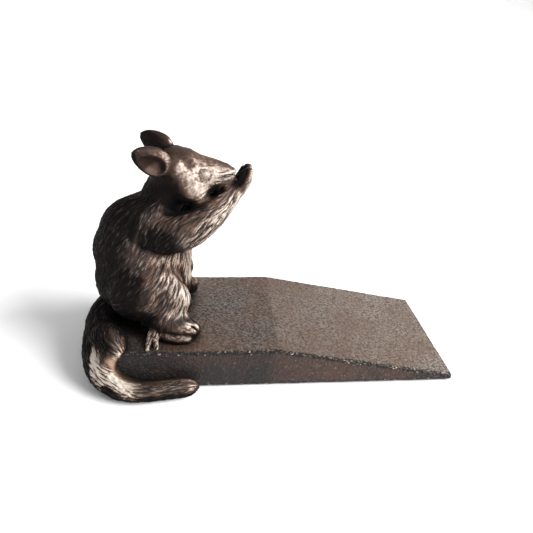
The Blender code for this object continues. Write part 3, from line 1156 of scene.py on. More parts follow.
@dataclass
class Squirrel:
    """The sitting squirrel, in two half castings that meet on the middle plane."""

    layout: Layout
    finish: FigureIron = FigureIron(smooth=(0.11, 0.062, 0.045))
    rough_voxel: float = 0.9
    fine_voxel: float = 0.33
    body: tuple[Mass, ...] = (
        Mass((-57.6, 0.0, 37.0), (20.9, 17.5, 21.0)),
        Mass((-57.2, 0.0, 49.5), (21.0, 16.5, 18.5), 10.0),
        Mass((-54.0, 0.0, 62.0), (14.0, 16.0, 13.2), 35.0),
        Mass((-57.5, 0.0, 57.0), (17.6, 15.0, 17.0), 25.0),
        Mass((-60.0, 0.0, 24.0), (14.0, 12.5, 9.0)),
        Mass((-47.0, 0.0, 75.5), (9.0, 9.5, 10.5), 35.0),
        Mass((-40.6, 0.0, 84.2), (12.0, 11.4, 10.6), 10.0),
        Mass((-33.0, 0.0, 83.8), (10.5, 8.2, 8.0), 12.0),
        Mass((-22.6, 0.0, 78.6), (5.6, 4.4, 4.0), 20.0),
    )
    paired: tuple[Mass, ...] = (
        Mass((-37.0, 5.8, 79.2), (8.4, 5.2, 6.0), 20.0),
        Mass((-43.2, 8.4, 89.6), (5.6, 3.6, 3.9), -14.0),
        Mass((-53.0, 9.5, 65.5), (9.0, 6.0, 9.5), 30.0),
        Mass((-55.5, 14.5, 37.0), (15.5, 8.0, 13.5), -25.0),
        Mass((-45.4, 16.0, 35.5), (8.5, 6.0, 10.5), -30.0),
    )
    snout: tuple[Station, ...] = (
        (-33.0, 0.0, 84.5, 7.2), (-27.0, 0.0, 84.2, 6.1), (-22.6, 0.0, 83.9, 4.7))
    arm: tuple[Station, ...] = (
        (-52.5, 9.6, 63.0, 7.0, 7.6), (-45.5, 12.6, 62.8, 6.6, 8.2),
        (-37.5, 13.0, 64.8, 6.3, 8.0), (-30.0, 11.2, 68.8, 5.6, 7.0),
        (-24.0, 8.2, 73.2, 4.6, 5.6), (-19.6, 5.6, 77.0, 3.6, 4.2), (-17.2, 4.4, 79.4, 2.9, 3.2))
    hand: tuple[tuple[Station, ...], ...] = (
        ((-17.6, 4.3, 78.0, 2.8), (-14.4, 3.5, 82.4, 2.5), (-13.0, 2.5, 86.0, 1.9)),
        ((-18.8, 4.9, 78.6, 1.1), (-16.6, 4.4, 82.8, 1.0), (-15.0, 3.4, 86.0, 0.9)),
    )
    shin: tuple[Station, ...] = (
        (-48.0, 18.0, 29.0, 6.0), (-50.5, 18.8, 24.0, 4.6), (-50.0, 19.8, 21.0, 3.6))
    foot: tuple[tuple[Station, ...], ...] = (
        ((-50.0, 20.0, 21.4, 3.8), (-43.5, 20.2, 24.2, 5.5), (-38.8, 20.2, 23.4, 5.1),
         (-36.6, 20.2, 22.4, 4.5)),
        ((-48.0, 23.5, 21.0, 2.2), (-42.5, 25.0, 20.4, 2.2), (-38.2, 24.9, 20.0, 1.9)),
        ((-52.0, 20.5, 23.0, 1.4), (-51.4, 25.5, 20.8, 1.3), (-50.6, 29.4, 19.2, 0.9)),
        ((-53.0, 21.0, 22.4, 1.3), (-53.8, 26.0, 20.5, 1.2), (-54.2, 30.0, 19.1, 0.8)),
    )
    far_foot_spread: float = 0.8
    far_foot_back: float = 1.8
    ear: Mass = Mass((-50.4, 12.0, 92.8), (7.8, 2.5, 5.4), -153.0, -18.0, 0.24)
    ear_hollow: Mass = Mass((-49.7, 14.3, 91.4), (5.5, 2.8, 3.4), -153.0, -18.0, 0.24)
    eye: Mass = Mass((-30.9, 6.1, 85.6), (2.7, 2.1, 2.2))
    nose: Mass = Mass((-19.6, 0.0, 85.4), (1.6, 2.3, 1.5))
    creases: tuple[Crease, ...] = (
        Crease(((-34.4, -8.4, 85.2), (-33.4, -8.5, 87.6), (-31.0, -8.3, 88.9),
                (-28.4, -7.4, 88.0), (-24.5, -5.8, 86.4)), 0.42, 0.55),
        Crease(((-34.4, -9.0, 85.2), (-31.4, -9.2, 83.0), (-28.4, -8.0, 84.2)), 0.40, 0.45),
        Crease(((-35.4, -8.0, 87.4), (-33.2, -8.0, 90.0), (-29.6, -7.4, 90.4)), 0.9, -0.35),
        Crease(((-37.5, -8.6, 89.8), (-36.0, -7.6, 92.2), (-34.6, -6.0, 94.2)), 1.8, 0.35),
        Crease(((-21.0, -3.6, 81.0), (-24.0, -5.2, 79.2), (-28.0, -7.4, 78.0)), 0.7, 0.7),
        Crease(((-66.0, -18.0, 36.0), (-63.0, -19.4, 42.0), (-57.0, -20.0, 46.0)), 2.2, 1.6),
        Crease(((-56.5, -15.0, 59.0), (-50.0, -19.0, 54.6), (-42.0, -18.0, 54.6)), 1.6, 0.9),
        Crease(((-40.6, -17.6, 28.6), (-34.2, -17.8, 25.6), (-32.0, -18.0, 21.0)), 0.55, 1.0),
        Crease(((-41.6, -20.6, 29.0), (-33.8, -20.6, 25.8), (-31.8, -20.6, 21.0)), 0.55, 1.0),
        Crease(((-42.6, -23.0, 27.8), (-34.6, -23.4, 24.6), (-32.8, -23.4, 20.6)), 0.55, 1.0),
    )
    # Painted shade: darker spots under the jaw, down the back, under the arm, round the haunch,
    # rump and foot, on the belly and about the eye, ear and head top.
    shade_spots: tuple[Spot, ...] = (
        Spot((-45.2, -11.0, 79.5), 6.5, 0.9), Spot((-54.0, -9.0, 76.0), 7.0, 0.9),
        Spot((-62.0, -9.0, 70.0), 8.0, 0.8), Spot((-69.0, -8.0, 62.0), 9.0, 0.8),
        Spot((-47.7, -19.0, 60.5), 6.5, 0.8), Spot((-61.5, -19.0, 40.0), 8.0, 0.8),
        Spot((-58.8, -20.0, 24.0), 8.0, 0.9), Spot((-72.0, -9.0, 50.0), 9.0, 0.6),
        Spot((-36.5, -8.5, 91.5), 3.2, 0.5), Spot((-43.4, -12.5, 93.0), 4.4, 0.4),
        Spot((-43.0, -10.0, 52.0), 8.0, 0.22), Spot((-39.5, -20.0, 24.0), 5.5, 0.22),
        Spot((-41.0, -5.0, 93.5), 5.0, 0.28),
    )
    # Wear and painted highlight: lighter spots on the cheek, round the eye, on the brow and on the
    # knee.
    wear_and_highlight_spots: tuple[Spot, ...] = (
        Spot((-28.0, -8.0, 84.0), 8.0, 0.8), Spot((-34.0, -9.0, 82.5), 6.5, 0.65),
        Spot((-30.0, -3.0, 90.0), 6.0, 0.3), Spot((-42.0, -21.0, 44.5), 7.0, 0.62),
    )
    lies: tuple[Lie, ...] = (
        Lie((-22, -3, 85), (-1.0, -0.2, 0.05)), Lie((-34, -3, 92), (-1.0, 0.0, 0.25)),
        Lie((-35, -11, 79), (-0.85, -0.1, -0.5)), Lie((-45, -4, 93), (-1.0, 0.0, -0.3)),
        Lie((-32, -7, 75), (-0.9, 0.0, -0.3)), Lie((-52, -3, 82), (-0.6, 0.0, -0.8)),
        Lie((-42, -11, 86), (-1.0, 0.0, -0.1)), Lie((-51, -13, 92), (-0.7, 0.0, 0.7)),
        Lie((-50, -9, 75), (-0.5, -0.1, -0.85)), Lie((-66, -4, 68), (-0.6, 0.0, -0.8)),
        Lie((-77, -4, 52), (-0.15, 0.0, -1.0)), Lie((-78, -4, 34), (0.1, 0.0, -1.0)),
        Lie((-74, -6, 24), (-0.2, 0.0, -1.0)), Lie((-60, -15, 62), (-0.5, 0.0, -0.85)),
        Lie((-60, -17, 48), (-0.55, 0.0, -0.83)), Lie((-48, -15, 50), (-0.5, 0.0, -0.86)),
        Lie((-37, -4, 48), (-0.1, 0.0, -1.0)), Lie((-40, -6, 62), (-0.1, 0.0, -1.0)),
        Lie((-53, -15, 68), (-0.3, -0.1, -0.9)), Lie((-45, -20, 60), (-0.6, -0.2, -0.6)),
        Lie((-33, -17, 65), (-0.7, -0.3, -0.7)), Lie((-20, -7, 77), (-0.6, -0.3, -0.75)),
        Lie((-52, -22, 45), (-0.6, 0.0, -0.8)), Lie((-55, -23, 34), (-0.75, 0.0, -0.65)),
        Lie((-40, -20, 38), (-0.35, -0.1, -0.93)), Lie((-42, -22, 30), (-0.6, 0.0, -0.8)),
        Lie((-66, -20, 33), (-0.9, 0.0, -0.4)), Lie((-40, -24, 26), (0.9, 0.0, -0.4)),
    )

    def build(self, rough: bpy.types.Object, solid: BVHTree) -> list[bpy.types.Object]:
        """Model, carve and dress both halves.

        Args:
            rough: The squirrel's big masses, used up here.
            solid: Everything that can shelter a part of it.

        Returns:
            The near and the far half.
        """
        shelter = Shelter.measure(self.layout, rough.data, solid)
        whole = self._model(rough)
        skin = Skin(whole.data, self.layout)
        self._carve(skin, shelter)
        material = self.finish.make("squirrel_iron")
        halves = []
        for name, side in (("near", -1.0), ("far", 1.0)):
            half = self._half(whole, f"squirrel_{name}_casting", side)
            half.data.materials.append(material)
            half.data.shade_smooth()
            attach(half, ROOT)
            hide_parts(f"squirrel_{name}_half")
            LOG.info("%s: %d faces", half.name, len(half.data.polygons))
            halves.append(half)
        discard(whole)
        return halves

    def rough(self) -> bpy.types.Object:
        """Fuse the big masses.

        Returns:
            The coarse squirrel.
        """
        clay = Clay(self.layout)
        for mass in self.body:
            clay.ball(mass)
        clay.limb(self.snout)
        for side in (-1.0, 1.0):
            for mass in self.paired:
                clay.ball(mass, side)
            clay.limb(self.arm, side)
            spread, back = (side, 0.0) if side < 0 else (self.far_foot_spread, self.far_foot_back)
            clay.limb(self.shin, spread)
            clay.limb(self.foot[0], spread, back=back)
        return clay.fuse("squirrel_rough", self.rough_voxel, 22)

    def _model(self, rough: bpy.types.Object) -> bpy.types.Object:
        """Add what is small to the big masses and fuse it all.

        Args:
            rough: The coarse squirrel, used up here.

        Returns:
            The whole squirrel.
        """
        clay = Clay(self.layout)
        clay.absorb(rough)
        clay.ball(self.nose)
        for side in (-1.0, 1.0):
            clay.ball(self.eye, side)
            clay.absorb(scooped(self.layout, self.ear, self.ear_hollow, side))
            for part in self.hand:
                clay.limb(part, side)
            spread, back = (side, 0.0) if side < 0 else (self.far_foot_spread, self.far_foot_back)
            for part in self.foot[1:]:
                clay.limb(part, spread, back=back)
        return clay.fuse("squirrel_whole", self.fine_voxel, 3)

    def _carve(self, skin: Skin, shelter: Shelter) -> None:
        """Press in the creases, comb the fur and keep what the finish needs.

        Args:
            skin: The whole squirrel's surface.
            shelter: How sheltered its parts are.
        """
        moved = np.zeros(len(skin.points))
        for crease in self.creases:
            for side in (-1.0, 1.0):
                moved += crease.press(skin, -side)
        skin.push(moved)
        stand = skin.bulge(60)
        pressed = ramp(-moved, 0.1, 0.7) * ramp(skin.points[:, 2], 82.0, 78.0)
        closed = shelter.at(skin.points)
        growth = self._growth(skin)
        comb = Comb(skin, np.random.default_rng(7))
        flow = flow_field(skin, self.lies)
        height = comb.carve(flow, growth)
        furry = growth[Hair.BODY] + growth[Hair.ARM] + 0.25 * growth[Hair.FACE]
        cuts = comb.carve(flow, {Hair.CUT: np.clip(furry, 0.0, 1.0)})
        glints = comb.carve(flow, {Hair.GLINT: np.clip(furry, 0.0, 1.0)})
        tall = sum(g * kind.value[2] for kind, g in growth.items())
        rough = 0.05 + 0.07 * growth[Hair.FACE]
        pebbles = rough * (grain(skin.points, 1.2, 3) + 0.8 * grain(skin.points, 0.7, 5))
        skin.push(height + glints - 0.6 * tall - cuts + pebbles)
        relief = 0.3 + 0.7 * np.where(tall > 0.03, height / np.maximum(tall, 0.03), 0.4)
        grainy = 0.76 + 0.26 * grain(skin.points, 0.7, 8) + 0.10 * grain(skin.points, 1.5, 9)
        face = 0.85 * growth[Hair.FACE]
        relief = relief * (1.0 - face) + grainy * face - cuts / Hair.CUT.value[2]
        skin.store("relief", np.clip(relief, -0.2, 1.3))
        skin.store("stand", np.clip(stand / 0.8, -1.0, 1.0) * (1.0 - 0.7 * growth[Hair.FACE]))
        concha = self._concha(skin)
        skin.store("smooth", concha)
        skin.store("glint", np.clip(glints / Hair.GLINT.value[2], 0.0, 1.0))
        palm, tufts, toe, hand = (distance_to_pair(skin.points, path) for path in (
            self.hand[1], self.foot[2], self.foot[1], self.hand[0]))
        exposed = ramp(closed, 0.5, 0.2)
        tufts = np.minimum(tufts, distance_to_path(skin.points, self.foot[3], -1.0))
        toe = ramp(toe, 3.4, 2.6) * ramp(skin.normals[:, 2], -0.1, 0.6)
        x, _, z = skin.points.T
        # Painted shade: in the palm, in the pressed creases of the face, at the top of the ear
        # hollows, about the ears and on the hand.
        dark = 0.9 * ramp(palm, 3.0, 1.8) + pressed
        dark = dark + concha * ramp(0.8 * z - 0.5 * x, 97.0, 100.0)
        dark = np.clip(dark + 0.45 * growth[Hair.PAW] * ramp(x, -43.0, -46.0)
                       * ramp(z, 60.0, 70.0), 0.0, 1.0)
        dark = np.maximum(dark, 0.3 * ramp(hand, 4.0, 3.0))
        # Painted highlight with wear: on the heel tufts, the tops of the toes and the listed spots.
        bright = np.maximum(0.7 * ramp(tufts, 2.6, 1.6), 0.6 * toe)
        for spot in self.wear_and_highlight_spots:
            bright = np.maximum(bright, spot.cover(skin.points) * exposed)
        spotted = np.max([spot.cover(skin.points) for spot in self.shade_spots], axis=0)
        dark = np.maximum(dark * (1.0 - 0.8 * toe), spotted * (1.0 - ramp(tufts, 4.0, 2.6)))
        store_wear_and_light(skin, closed, bright, np.clip(dark, 0.0, 1.0))

    def _concha(self, skin: Skin) -> np.ndarray:
        """How far each point lies inside an ear.

        Args:
            skin: The whole squirrel's surface.

        Returns:
            Numbers from 0 to 1, one a point.
        """
        inside = np.zeros(len(skin.points))
        for side in (-1.0, 1.0):
            x, y, z = self.ear_hollow.centre
            offset = skin.points - np.array((x, y * side, z))
            facing = -np.einsum("ij,ij->i", offset, skin.normals)
            gap = np.linalg.norm(offset * np.array((1.0, 1.4, 1.25)), axis=1)
            inside = np.maximum(inside, ramp(gap, 6.4, 5.0) * ramp(facing, -0.5, 1.0))
        return inside

    def _growth(self, skin: Skin) -> dict[Hair, np.ndarray]:
        """Which hair grows where.

        Args:
            skin: The whole squirrel's surface.

        Returns:
            For each kind, a number from 0 to 1 for each point.
        """
        points = skin.points
        x, y, z = points.T
        arm, hand = (distance_to_pair(points, path) for path in (self.arm, self.hand[0]))
        ear = np.full(len(points), FAR_OFF)
        for side in (-1.0, 1.0):
            centre = np.array((self.ear.centre[0], self.ear.centre[1] * side, self.ear.centre[2]))
            ear = np.minimum(ear, np.linalg.norm(points - centre, axis=1))
        bare = ramp(hand, 5.5, 3.0)
        inner_ear = ramp(ear, 8.5, 6.0)
        paw = ramp(z, 29.0, 25.5) * ramp(np.abs(y), 12.0, 15.0) * ramp(x, -52.0, -46.0)
        arms = ramp(arm, 10.0, 8.0) * (1.0 - bare)
        face = ramp(((x + 36.5) / 17.0) ** 2 + ((z - 84.0) / 12.0) ** 2, 1.15, 0.85)
        face = face * (1.0 - arms) * (1.0 - bare)
        eye = np.linalg.norm(
            np.stack((x, np.abs(y), z), 1) - np.array(self.eye.centre), axis=1)
        face = face * (1.0 - inner_ear) * ramp(eye, 2.6, 3.6)
        rest = 1.0 - np.clip(face + bare + paw + arms + inner_ear, 0.0, 1.0)
        rest = rest * ramp(eye, 2.6, 3.6)
        return {
            Hair.BODY: rest,
            Hair.ARM: arms * (1.0 - paw),
            Hair.FACE: face,
            Hair.PAW: np.clip(paw + bare + inner_ear, 0.0, 1.0),
        }

    def _half(self, whole: bpy.types.Object, name: str, side: float) -> bpy.types.Object:
        """Cut one half off the whole, flat on the middle plane and on the wedge's top.

        Args:
            whole: The carved squirrel.
            name: The half's name.
            side: -1 for the near half and 1 for the far one.

        Returns:
            The half.
        """
        bm = bmesh.new()
        bm.from_mesh(whole.data)
        middle = self.layout.at(0.0, 0.01 * side, 0.0)
        seat = Vector((0.0, 0.0, self.layout.top_z + 0.00002))
        for place, normal in ((middle, Vector((0, -side, 0))), (seat, Vector((0, 0, -1)))):
            cut = bmesh.ops.bisect_plane(
                bm, geom=[*bm.verts, *bm.edges, *bm.faces], dist=1e-7, plane_co=place,
                plane_no=normal, clear_outer=True)["geom_cut"]
            rim = [e for e in cut if isinstance(e, bmesh.types.BMEdge) and e.is_boundary]
            bmesh.ops.holes_fill(bm, edges=rim, sides=0)
        bmesh.ops.triangulate(bm, faces=[f for f in bm.faces if len(f.verts) > 4])
        return from_bmesh(name, bm)


# ------------------------------------------------------------------ the tail

@dataclass
class Tail:
    """The bushy tail, down behind the wedge and forward along its near side."""

    layout: Layout
    finish: FigureIron = FigureIron()
    rough_voxel: float = 0.9
    voxel: float = 0.26
    run: tuple[Station, ...] = (
        (-70.0, -4.0, 27.0, 6.0, 6.0), (-75.0, -7.5, 21.5, 6.6, 6.6),
        (-76.8, -14.5, 14.0, 6.6, 7.2), (-75.6, -25.0, 9.2, 6.2, 8.0),
        (-69.4, -33.2, 6.2, 6.0, 5.8), (-60.0, -37.4, 4.1, 5.6, 3.8),
        (-48.0, -37.2, 4.3, 5.1, 4.0), (-40.0, -36.8, 4.8, 4.6, 4.2),
        (-36.6, -36.2, 4.8, 3.6, 3.4))
    crest: tuple[Station, ...] = (
        (-77.0, -14.0, 16.0, 5.6, 5.6), (-73.0, -20.0, 19.6, 6.0, 6.0),
        (-68.4, -24.8, 20.4, 5.4, 5.6), (-67.2, -28.4, 18.6, 4.8, 5.0))
    corner: tuple[Station, ...] = (
        (-68.0, -27.6, 18.6, 4.6), (-69.4, -30.8, 15.0, 3.8), (-69.9, -32.2, 11.0, 3.8),
        (-69.6, -33.4, 7.0, 4.0))

    def rough(self) -> bpy.types.Object:
        """Fuse the big masses.

        Returns:
            The coarse tail.
        """
        clay = Clay(self.layout)
        clay.limb(self.run, steps=12)
        clay.limb(self.crest, steps=12)
        clay.limb(self.corner)
        return clay.fuse("tail_rough", self.rough_voxel, 10)

    def build(self, rough: bpy.types.Object, solid: BVHTree) -> bpy.types.Object:
        """Carve and dress the tail.

        Args:
            rough: The coarse tail, used up here.
            solid: Everything that can shelter a part of it.

        Returns:
            The tail.
        """
        shelter = Shelter.measure(self.layout, rough.data, solid)
        clay = Clay(self.layout)
        clay.absorb(rough)
        tail = clay.fuse("tail_casting", self.voxel, 3)
        self._trim(tail)
        skin = Skin(tail.data, self.layout)
        self._carve(skin, shelter)
        tail.data.materials.append(self.finish.make("tail_iron"))
        tail.data.shade_smooth()
        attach(tail, ROOT)
        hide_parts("tail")
        LOG.info("%s: %d faces", tail.name, len(tail.data.polygons))
        return tail

    def _trim(self, tail: bpy.types.Object) -> None:
        """Cut the tail clear of the wedge.

        Args:
            tail: The tail, changed in place.
        """
        low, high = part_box("wedge_base")
        bm = bmesh.new()
        middle = (Vector(low) + Vector(high)) / 2
        size = Vector(high) - Vector(low)
        matrix = Matrix.Translation(middle) @ Matrix.Diagonal((*size, 1.0))
        bmesh.ops.create_cube(bm, size=1.0, matrix=matrix)
        cutter = from_bmesh("wedge_cutter", bm)
        cut = tail.modifiers.new("cut", "BOOLEAN")
        cut.operation, cut.solver, cut.object = "DIFFERENCE", "EXACT", cutter
        settle(tail)
        discard(cutter)

    def _carve(self, skin: Skin, shelter: Shelter) -> None:
        """Comb the fur, leaving the inner side smooth.

        Args:
            skin: The tail's surface.
            shelter: How sheltered its parts are.
        """
        points = skin.points
        gap_x = np.maximum(self.layout.back_x - points[:, 0], 0.0)
        gap_y = np.maximum(-WEDGE_HALF_WIDTH - points[:, 1], 0.0)
        gap_z = np.maximum(points[:, 2] - self.layout.top_z / MM, 0.0)
        away = np.sqrt(gap_x ** 2 + gap_y ** 2 + gap_z ** 2)
        reach = 1.7 + 2.9 * ramp(points[:, 0], -71.5, -63.0)
        inner = ramp(away - reach, 1.0, 0.0) * ramp(points[:, 2], 19.0, 16.0)
        line = np.array([s[:3] for s in smooth_path(self.run, 8)])
        ahead = np.gradient(line, axis=0)
        gaps = np.full(len(points), FAR_OFF)
        flow = np.zeros_like(points)
        for place, way in zip(line, ahead):
            gap = np.linalg.norm(points - place, axis=1)
            closer = gap < gaps
            gaps[closer] = gap[closer]
            flow[closer] = way / np.linalg.norm(way)
        flow = laid_flat(skin, skin.average(flow, 12))
        stand = skin.bulge(50)
        growth = {Hair.TAIL: 1.0 - inner}
        comb = Comb(skin, np.random.default_rng(11))
        height = comb.carve(flow, growth)
        cuts = comb.carve(flow, {Hair.CUT: growth[Hair.TAIL]})
        glints = comb.carve(flow, {Hair.GLINT: growth[Hair.TAIL]})
        tall = growth[Hair.TAIL] * Hair.TAIL.value[2]
        pebbles = 0.05 * grain(points, 1.1, 13) + 0.04 * grain(points, 0.6, 15)
        skin.push(height + glints - 0.6 * tall - cuts + pebbles)
        relief = 0.3 + 0.7 * np.where(tall > 0.05, height / np.maximum(tall, 0.05), 0.4)
        relief -= cuts / Hair.CUT.value[2]
        skin.store("stand", np.clip(stand / 0.8, -1.0, 1.0))
        skin.store("smooth", inner)
        skin.store("glint", np.clip(glints / Hair.GLINT.value[2], 0.0, 1.0))
        # Painted shade on the tail's outer side, and painted highlight along the upward-facing
        # ridge beside the smooth inner side.
        outer = ramp(away - reach, 4.2, 6.0) * ramp(points[:, 0], -62.0, -70.0)
        ridge = ramp(away - reach, 0.0, 1.0) * (1.0 - outer)
        ridge = ridge * ramp(skin.normals[:, 2], 0.1, 0.5) * ramp(points[:, 2], 19.0, 15.0)
        ridge = ridge * (0.2 + 0.8 * ramp(points[:, 0], -54.0, -66.0))
        skin.store("relief", np.clip(relief + 0.45 * ridge, -0.2, 1.3))
        # Painted shade on the tail's top, under the body.
        crest = ramp(points[:, 2], 18.0, 22.0) * 0.2
        store_wear_and_light(skin, shelter.at(skin.points) * 0.7, 0.95 * skin.average(ridge, 4),
                   np.clip(crest + 0.9 * skin.average(outer, 4), 0.0, 1.0))


# ------------------------------------------------------------------ the wedge

@dataclass
class Wedge:
    """The ramp casting, with a sand-cast skin."""

    layout: Layout
    finish: WedgeIron = WedgeIron()
    voxel: float = 0.66

    def build(self, solid: BVHTree) -> bpy.types.Object:
        """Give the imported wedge's shape a cast surface.

        Args:
            solid: Everything that can shelter a part of it.

        Returns:
            The wedge.
        """
        bm = bmesh.new()
        bm.from_mesh(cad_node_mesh("wedge_base"))
        bmesh.ops.remove_doubles(bm, verts=bm.verts, dist=1e-6)
        wedge = from_bmesh("wedge_casting", bm)
        remesh(wedge, self.voxel, 1)
        skin = Skin(wedge.data, self.layout)
        stand = skin.bulge(5)
        uneven = 0.10 * grain(skin.points, 9.0, 21) + 0.07 * grain(skin.points, 2.6, 22)
        chips = 0.25 * np.clip(grain(skin.points, 2.2, 23) - 0.2, 0.0, 1.0) * ramp(stand, 0.05, 0.3)
        skin.push(uneven - chips + 0.09 * grain(skin.points, 1.5, 24) - 0.1)
        # Convex edges, for the painted dark reflection and light chips there.
        skin.store("edge", ramp(stand, 0.015, 0.09))
        faces_up = ramp(skin.normals[:, 2], 0.6, 0.9)
        x, y, _ = skin.points.T
        # Where the top is painted lighter: the slope, more towards the thin edge, and the flat top.
        skin.store("slope", faces_up * ramp(x, -0.6, 0.6) * (0.60 + 0.40 * ramp(x, 4.0, 60.0)))
        skin.store("flat", faces_up * ramp(x, 0.6, -0.6))
        # Painted shade on the top under the squirrel and the tail.
        skin.store("closed", self._sheltered(skin, solid))
        from_feet = np.hypot((x + 40.0) / 17.0, (y + 24.0) / 10.0)
        # Where the top is warmer brown, round the feet.
        skin.store("warm_by_feet", faces_up * ramp(from_feet, 1.2, 0.4))
        # Where the sides are painted in shade, more towards the back.
        skin.store("side", (1.0 - faces_up) * (0.55 + 0.45 * ramp(x, 20.0, -20.0)))
        wedge.data.materials.append(self.finish.make("wedge_iron"))
        wedge.data.shade_smooth()
        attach(wedge, ROOT)
        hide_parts("wedge_base")
        LOG.info("%s: %d faces", wedge.name, len(wedge.data.polygons))
        return wedge

    def _sheltered(self, skin: Skin, solid: BVHTree) -> np.ndarray:
        """How boxed in the back of the wedge's top is, under the squirrel and the tail.

        Args:
            skin: The wedge's surface.
            solid: Everything that can shelter it.

        Returns:
            Numbers from 0 to 1, one a point.
        """
        rng = np.random.default_rng(9)
        spray = rng.normal(size=(14, 3))
        spray = spray / np.linalg.norm(spray, axis=1)[:, None] * 0.98 + np.array((0.0, 0.0, 1.0))
        ways = [Vector(way) for way in spray]
        closed = np.zeros(len(skin.points))
        top = (skin.points[:, 0] < -26.0) & (skin.normals[:, 2] > 0.5) & (skin.points[:, 2] > 17.0)
        for i in np.nonzero(top)[0]:
            start = self.layout.at(*skin.points[i]) + Vector((0.0, 0.0, 0.6 * MM))
            hits = sum(solid.ray_cast(start, way, 18.0 * MM)[0] is not None for way in ways)
            closed[i] = hits / len(ways)
        return ramp(skin.average(closed, 6), 0.1, 0.75)


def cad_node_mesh(node: str) -> bpy.types.Mesh:
    """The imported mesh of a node."""
    return FRAME["nodes"][node].data


# ------------------------------------------------------------------ fasteners and pads

@dataclass
class Hardware:
    """Screws, washers, pins and pads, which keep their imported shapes."""

    steel: ZincSteel = ZincSteel()
    rubber: PadRubber = PadRubber()

    def dress(self, nodes: dict[str, bpy.types.Object]) -> None:
        """Give every node that is still plain its finish.

        Args:
            nodes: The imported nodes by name.
        """
        steel = self.steel.make("zinc_steel")
        rubber = self.rubber.make("pad_rubber")
        for name, node in nodes.items():
            if name.endswith(("screw", "washer", "dowel")):
                self._dress(node, steel)
            elif name.endswith("pad"):
                self._dress(node, rubber)

    def _dress(self, node: bpy.types.Object, material: bpy.types.Material) -> None:
        """Put one material on a node.

        Args:
            node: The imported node.
            material: What all its slots get.
        """
        for slot in node.material_slots:
            slot.material = material
        LOG.info("%s: %s", node.name, material.name)


# ------------------------------------------------------------------ studio

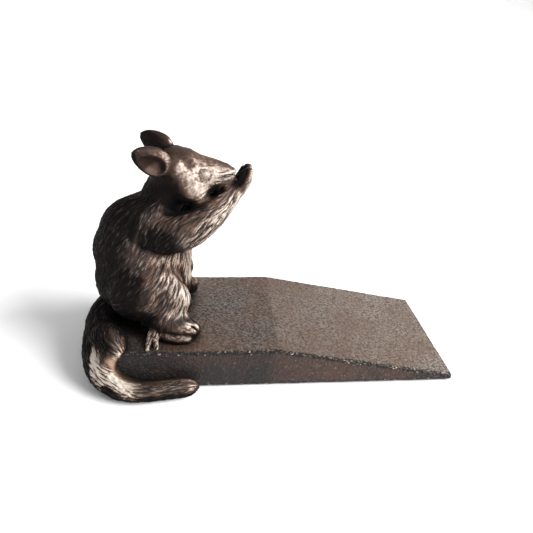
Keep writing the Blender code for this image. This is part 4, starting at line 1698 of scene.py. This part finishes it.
@dataclass
class Studio:
    """Floor, camera and lights, with the floor in metres and the angles in degrees."""

    layout: Layout
    eye: Point = (-28.0, -203.4, 151.1)
    azimuth: float = 6.87
    elevation: float = 28.17
    roll: float = 3.07
    lens: float = 35.0
    sensor: float = 36.0
    floor_radius: float = 6.0
    sweep_radius: float = 1.5
    sweep_top: float = 2.4
    floor_tone: float = 0.92
    key_toward: Point = (0.79, -0.36, 0.50)
    key_energy: float = 6.6
    key_spread: float = 38.0
    room_toward: Point = (0.8, -0.2, 0.45)

    def build(self) -> None:
        """Make the floor, the camera and the lights."""
        self._floor()
        self._camera()
        self._lights()

    def _camera(self) -> None:
        """Place the camera."""
        data = bpy.data.cameras.new("camera")
        data.lens = self.lens
        data.sensor_width = self.sensor
        data.clip_start = 0.01
        camera = bpy.data.objects.new("camera", data)
        bpy.context.scene.collection.objects.link(camera)
        a, e, r = (math.radians(v) for v in (self.azimuth, self.elevation, self.roll))
        forward = Vector((math.sin(a) * math.cos(e), math.cos(a) * math.cos(e), -math.sin(e)))
        level = Vector((math.cos(a), -math.sin(a), 0.0))
        up = level.cross(forward)
        right = level * math.cos(r) + up * math.sin(r)
        up = right.cross(forward)
        matrix = Matrix((right, up, -forward)).transposed().to_4x4()
        matrix.translation = self.layout.at(*self.eye)
        camera.matrix_world = matrix
        bpy.context.scene.camera = camera

    def _floor(self) -> None:
        """A large round pale floor that sweeps up all round."""
        bm = bmesh.new()
        flat, sweep = self.floor_radius, self.sweep_radius
        profile = [(0.0, 0.0), (flat / 3, 0.0), (flat, 0.0)]
        profile += [(flat + sweep * math.sin(a), sweep - sweep * math.cos(a))
                    for a in (math.pi / 24 * i for i in range(1, 13))]
        profile.append((flat + sweep, self.sweep_top))
        verts = [bm.verts.new((r, 0.0, z)) for r, z in profile]
        edges = [bm.edges.new(pair) for pair in zip(verts, verts[1:])]
        bmesh.ops.spin(bm, geom=[*verts, *edges], cent=(0, 0, 0), axis=(0, 0, 1),
                       angle=2 * math.pi, steps=96, use_merge=True)
        bmesh.ops.remove_doubles(bm, verts=bm.verts, dist=1e-5)
        bmesh.ops.recalc_face_normals(bm, faces=bm.faces)
        floor = from_bmesh("floor", bm)
        floor.data.shade_smooth()
        sheet = NodeSheet.start("pale_floor")
        sheet.shader.inputs["Base Color"].default_value = (*[self.floor_tone] * 3, 1.0)
        sheet.shader.inputs["Roughness"].default_value = 0.9
        sheet.shader.inputs["Specular IOR Level"].default_value = 0.1
        floor.data.materials.append(sheet.material)

    def _lights(self) -> None:
        """A broad key from the front right and a room that is dim on the left."""
        data = bpy.data.lights.new("key", "SUN")
        data.energy = self.key_energy
        data.angle = math.radians(self.key_spread)
        key = bpy.data.objects.new("key", data)
        bpy.context.scene.collection.objects.link(key)
        key.matrix_world = (-Vector(self.key_toward)).to_track_quat("-Z", "Y").to_matrix().to_4x4()

        world = bpy.data.worlds.new("room")
        world.use_nodes = True
        tree = world.node_tree
        back = tree.nodes["Background"]
        coord = tree.nodes.new("ShaderNodeTexCoord")
        dot = tree.nodes.new("ShaderNodeVectorMath")
        dot.operation = "DOT_PRODUCT"
        dot.inputs[1].default_value = self.room_toward
        spread = tree.nodes.new("ShaderNodeMapRange")
        for socket, number in (("From Min", -0.5), ("From Max", 0.9),
                               ("To Min", 0.06), ("To Max", 0.85)):
            spread.inputs[socket].default_value = number
        tree.links.new(coord.outputs["Generated"], dot.inputs[0])
        tree.links.new(dot.outputs["Value"], spread.inputs["Value"])
        tree.links.new(spread.outputs["Result"], back.inputs["Strength"])
        back.inputs["Color"].default_value = (1.0, 1.0, 1.0, 1.0)
        bpy.context.scene.world = world
        bpy.context.scene.view_settings.view_transform = "Standard"


def main() -> None:
    """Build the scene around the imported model."""
    logging.basicConfig(level=logging.INFO, format="%(name)s %(message)s")
    layout = Layout.from_frame()
    Studio(layout).build()
    squirrel, tail = Squirrel(layout), Tail(layout)
    rough_squirrel, rough_tail = squirrel.rough(), tail.rough()
    solid = solid_tree([rough_squirrel.data, rough_tail.data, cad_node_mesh("wedge_base")])
    squirrel.build(rough_squirrel, solid)
    tail.build(rough_tail, solid)
    Wedge(layout).build(solid)
    Hardware().dress(FRAME["nodes"])


if __name__ == "__main__":
    main()
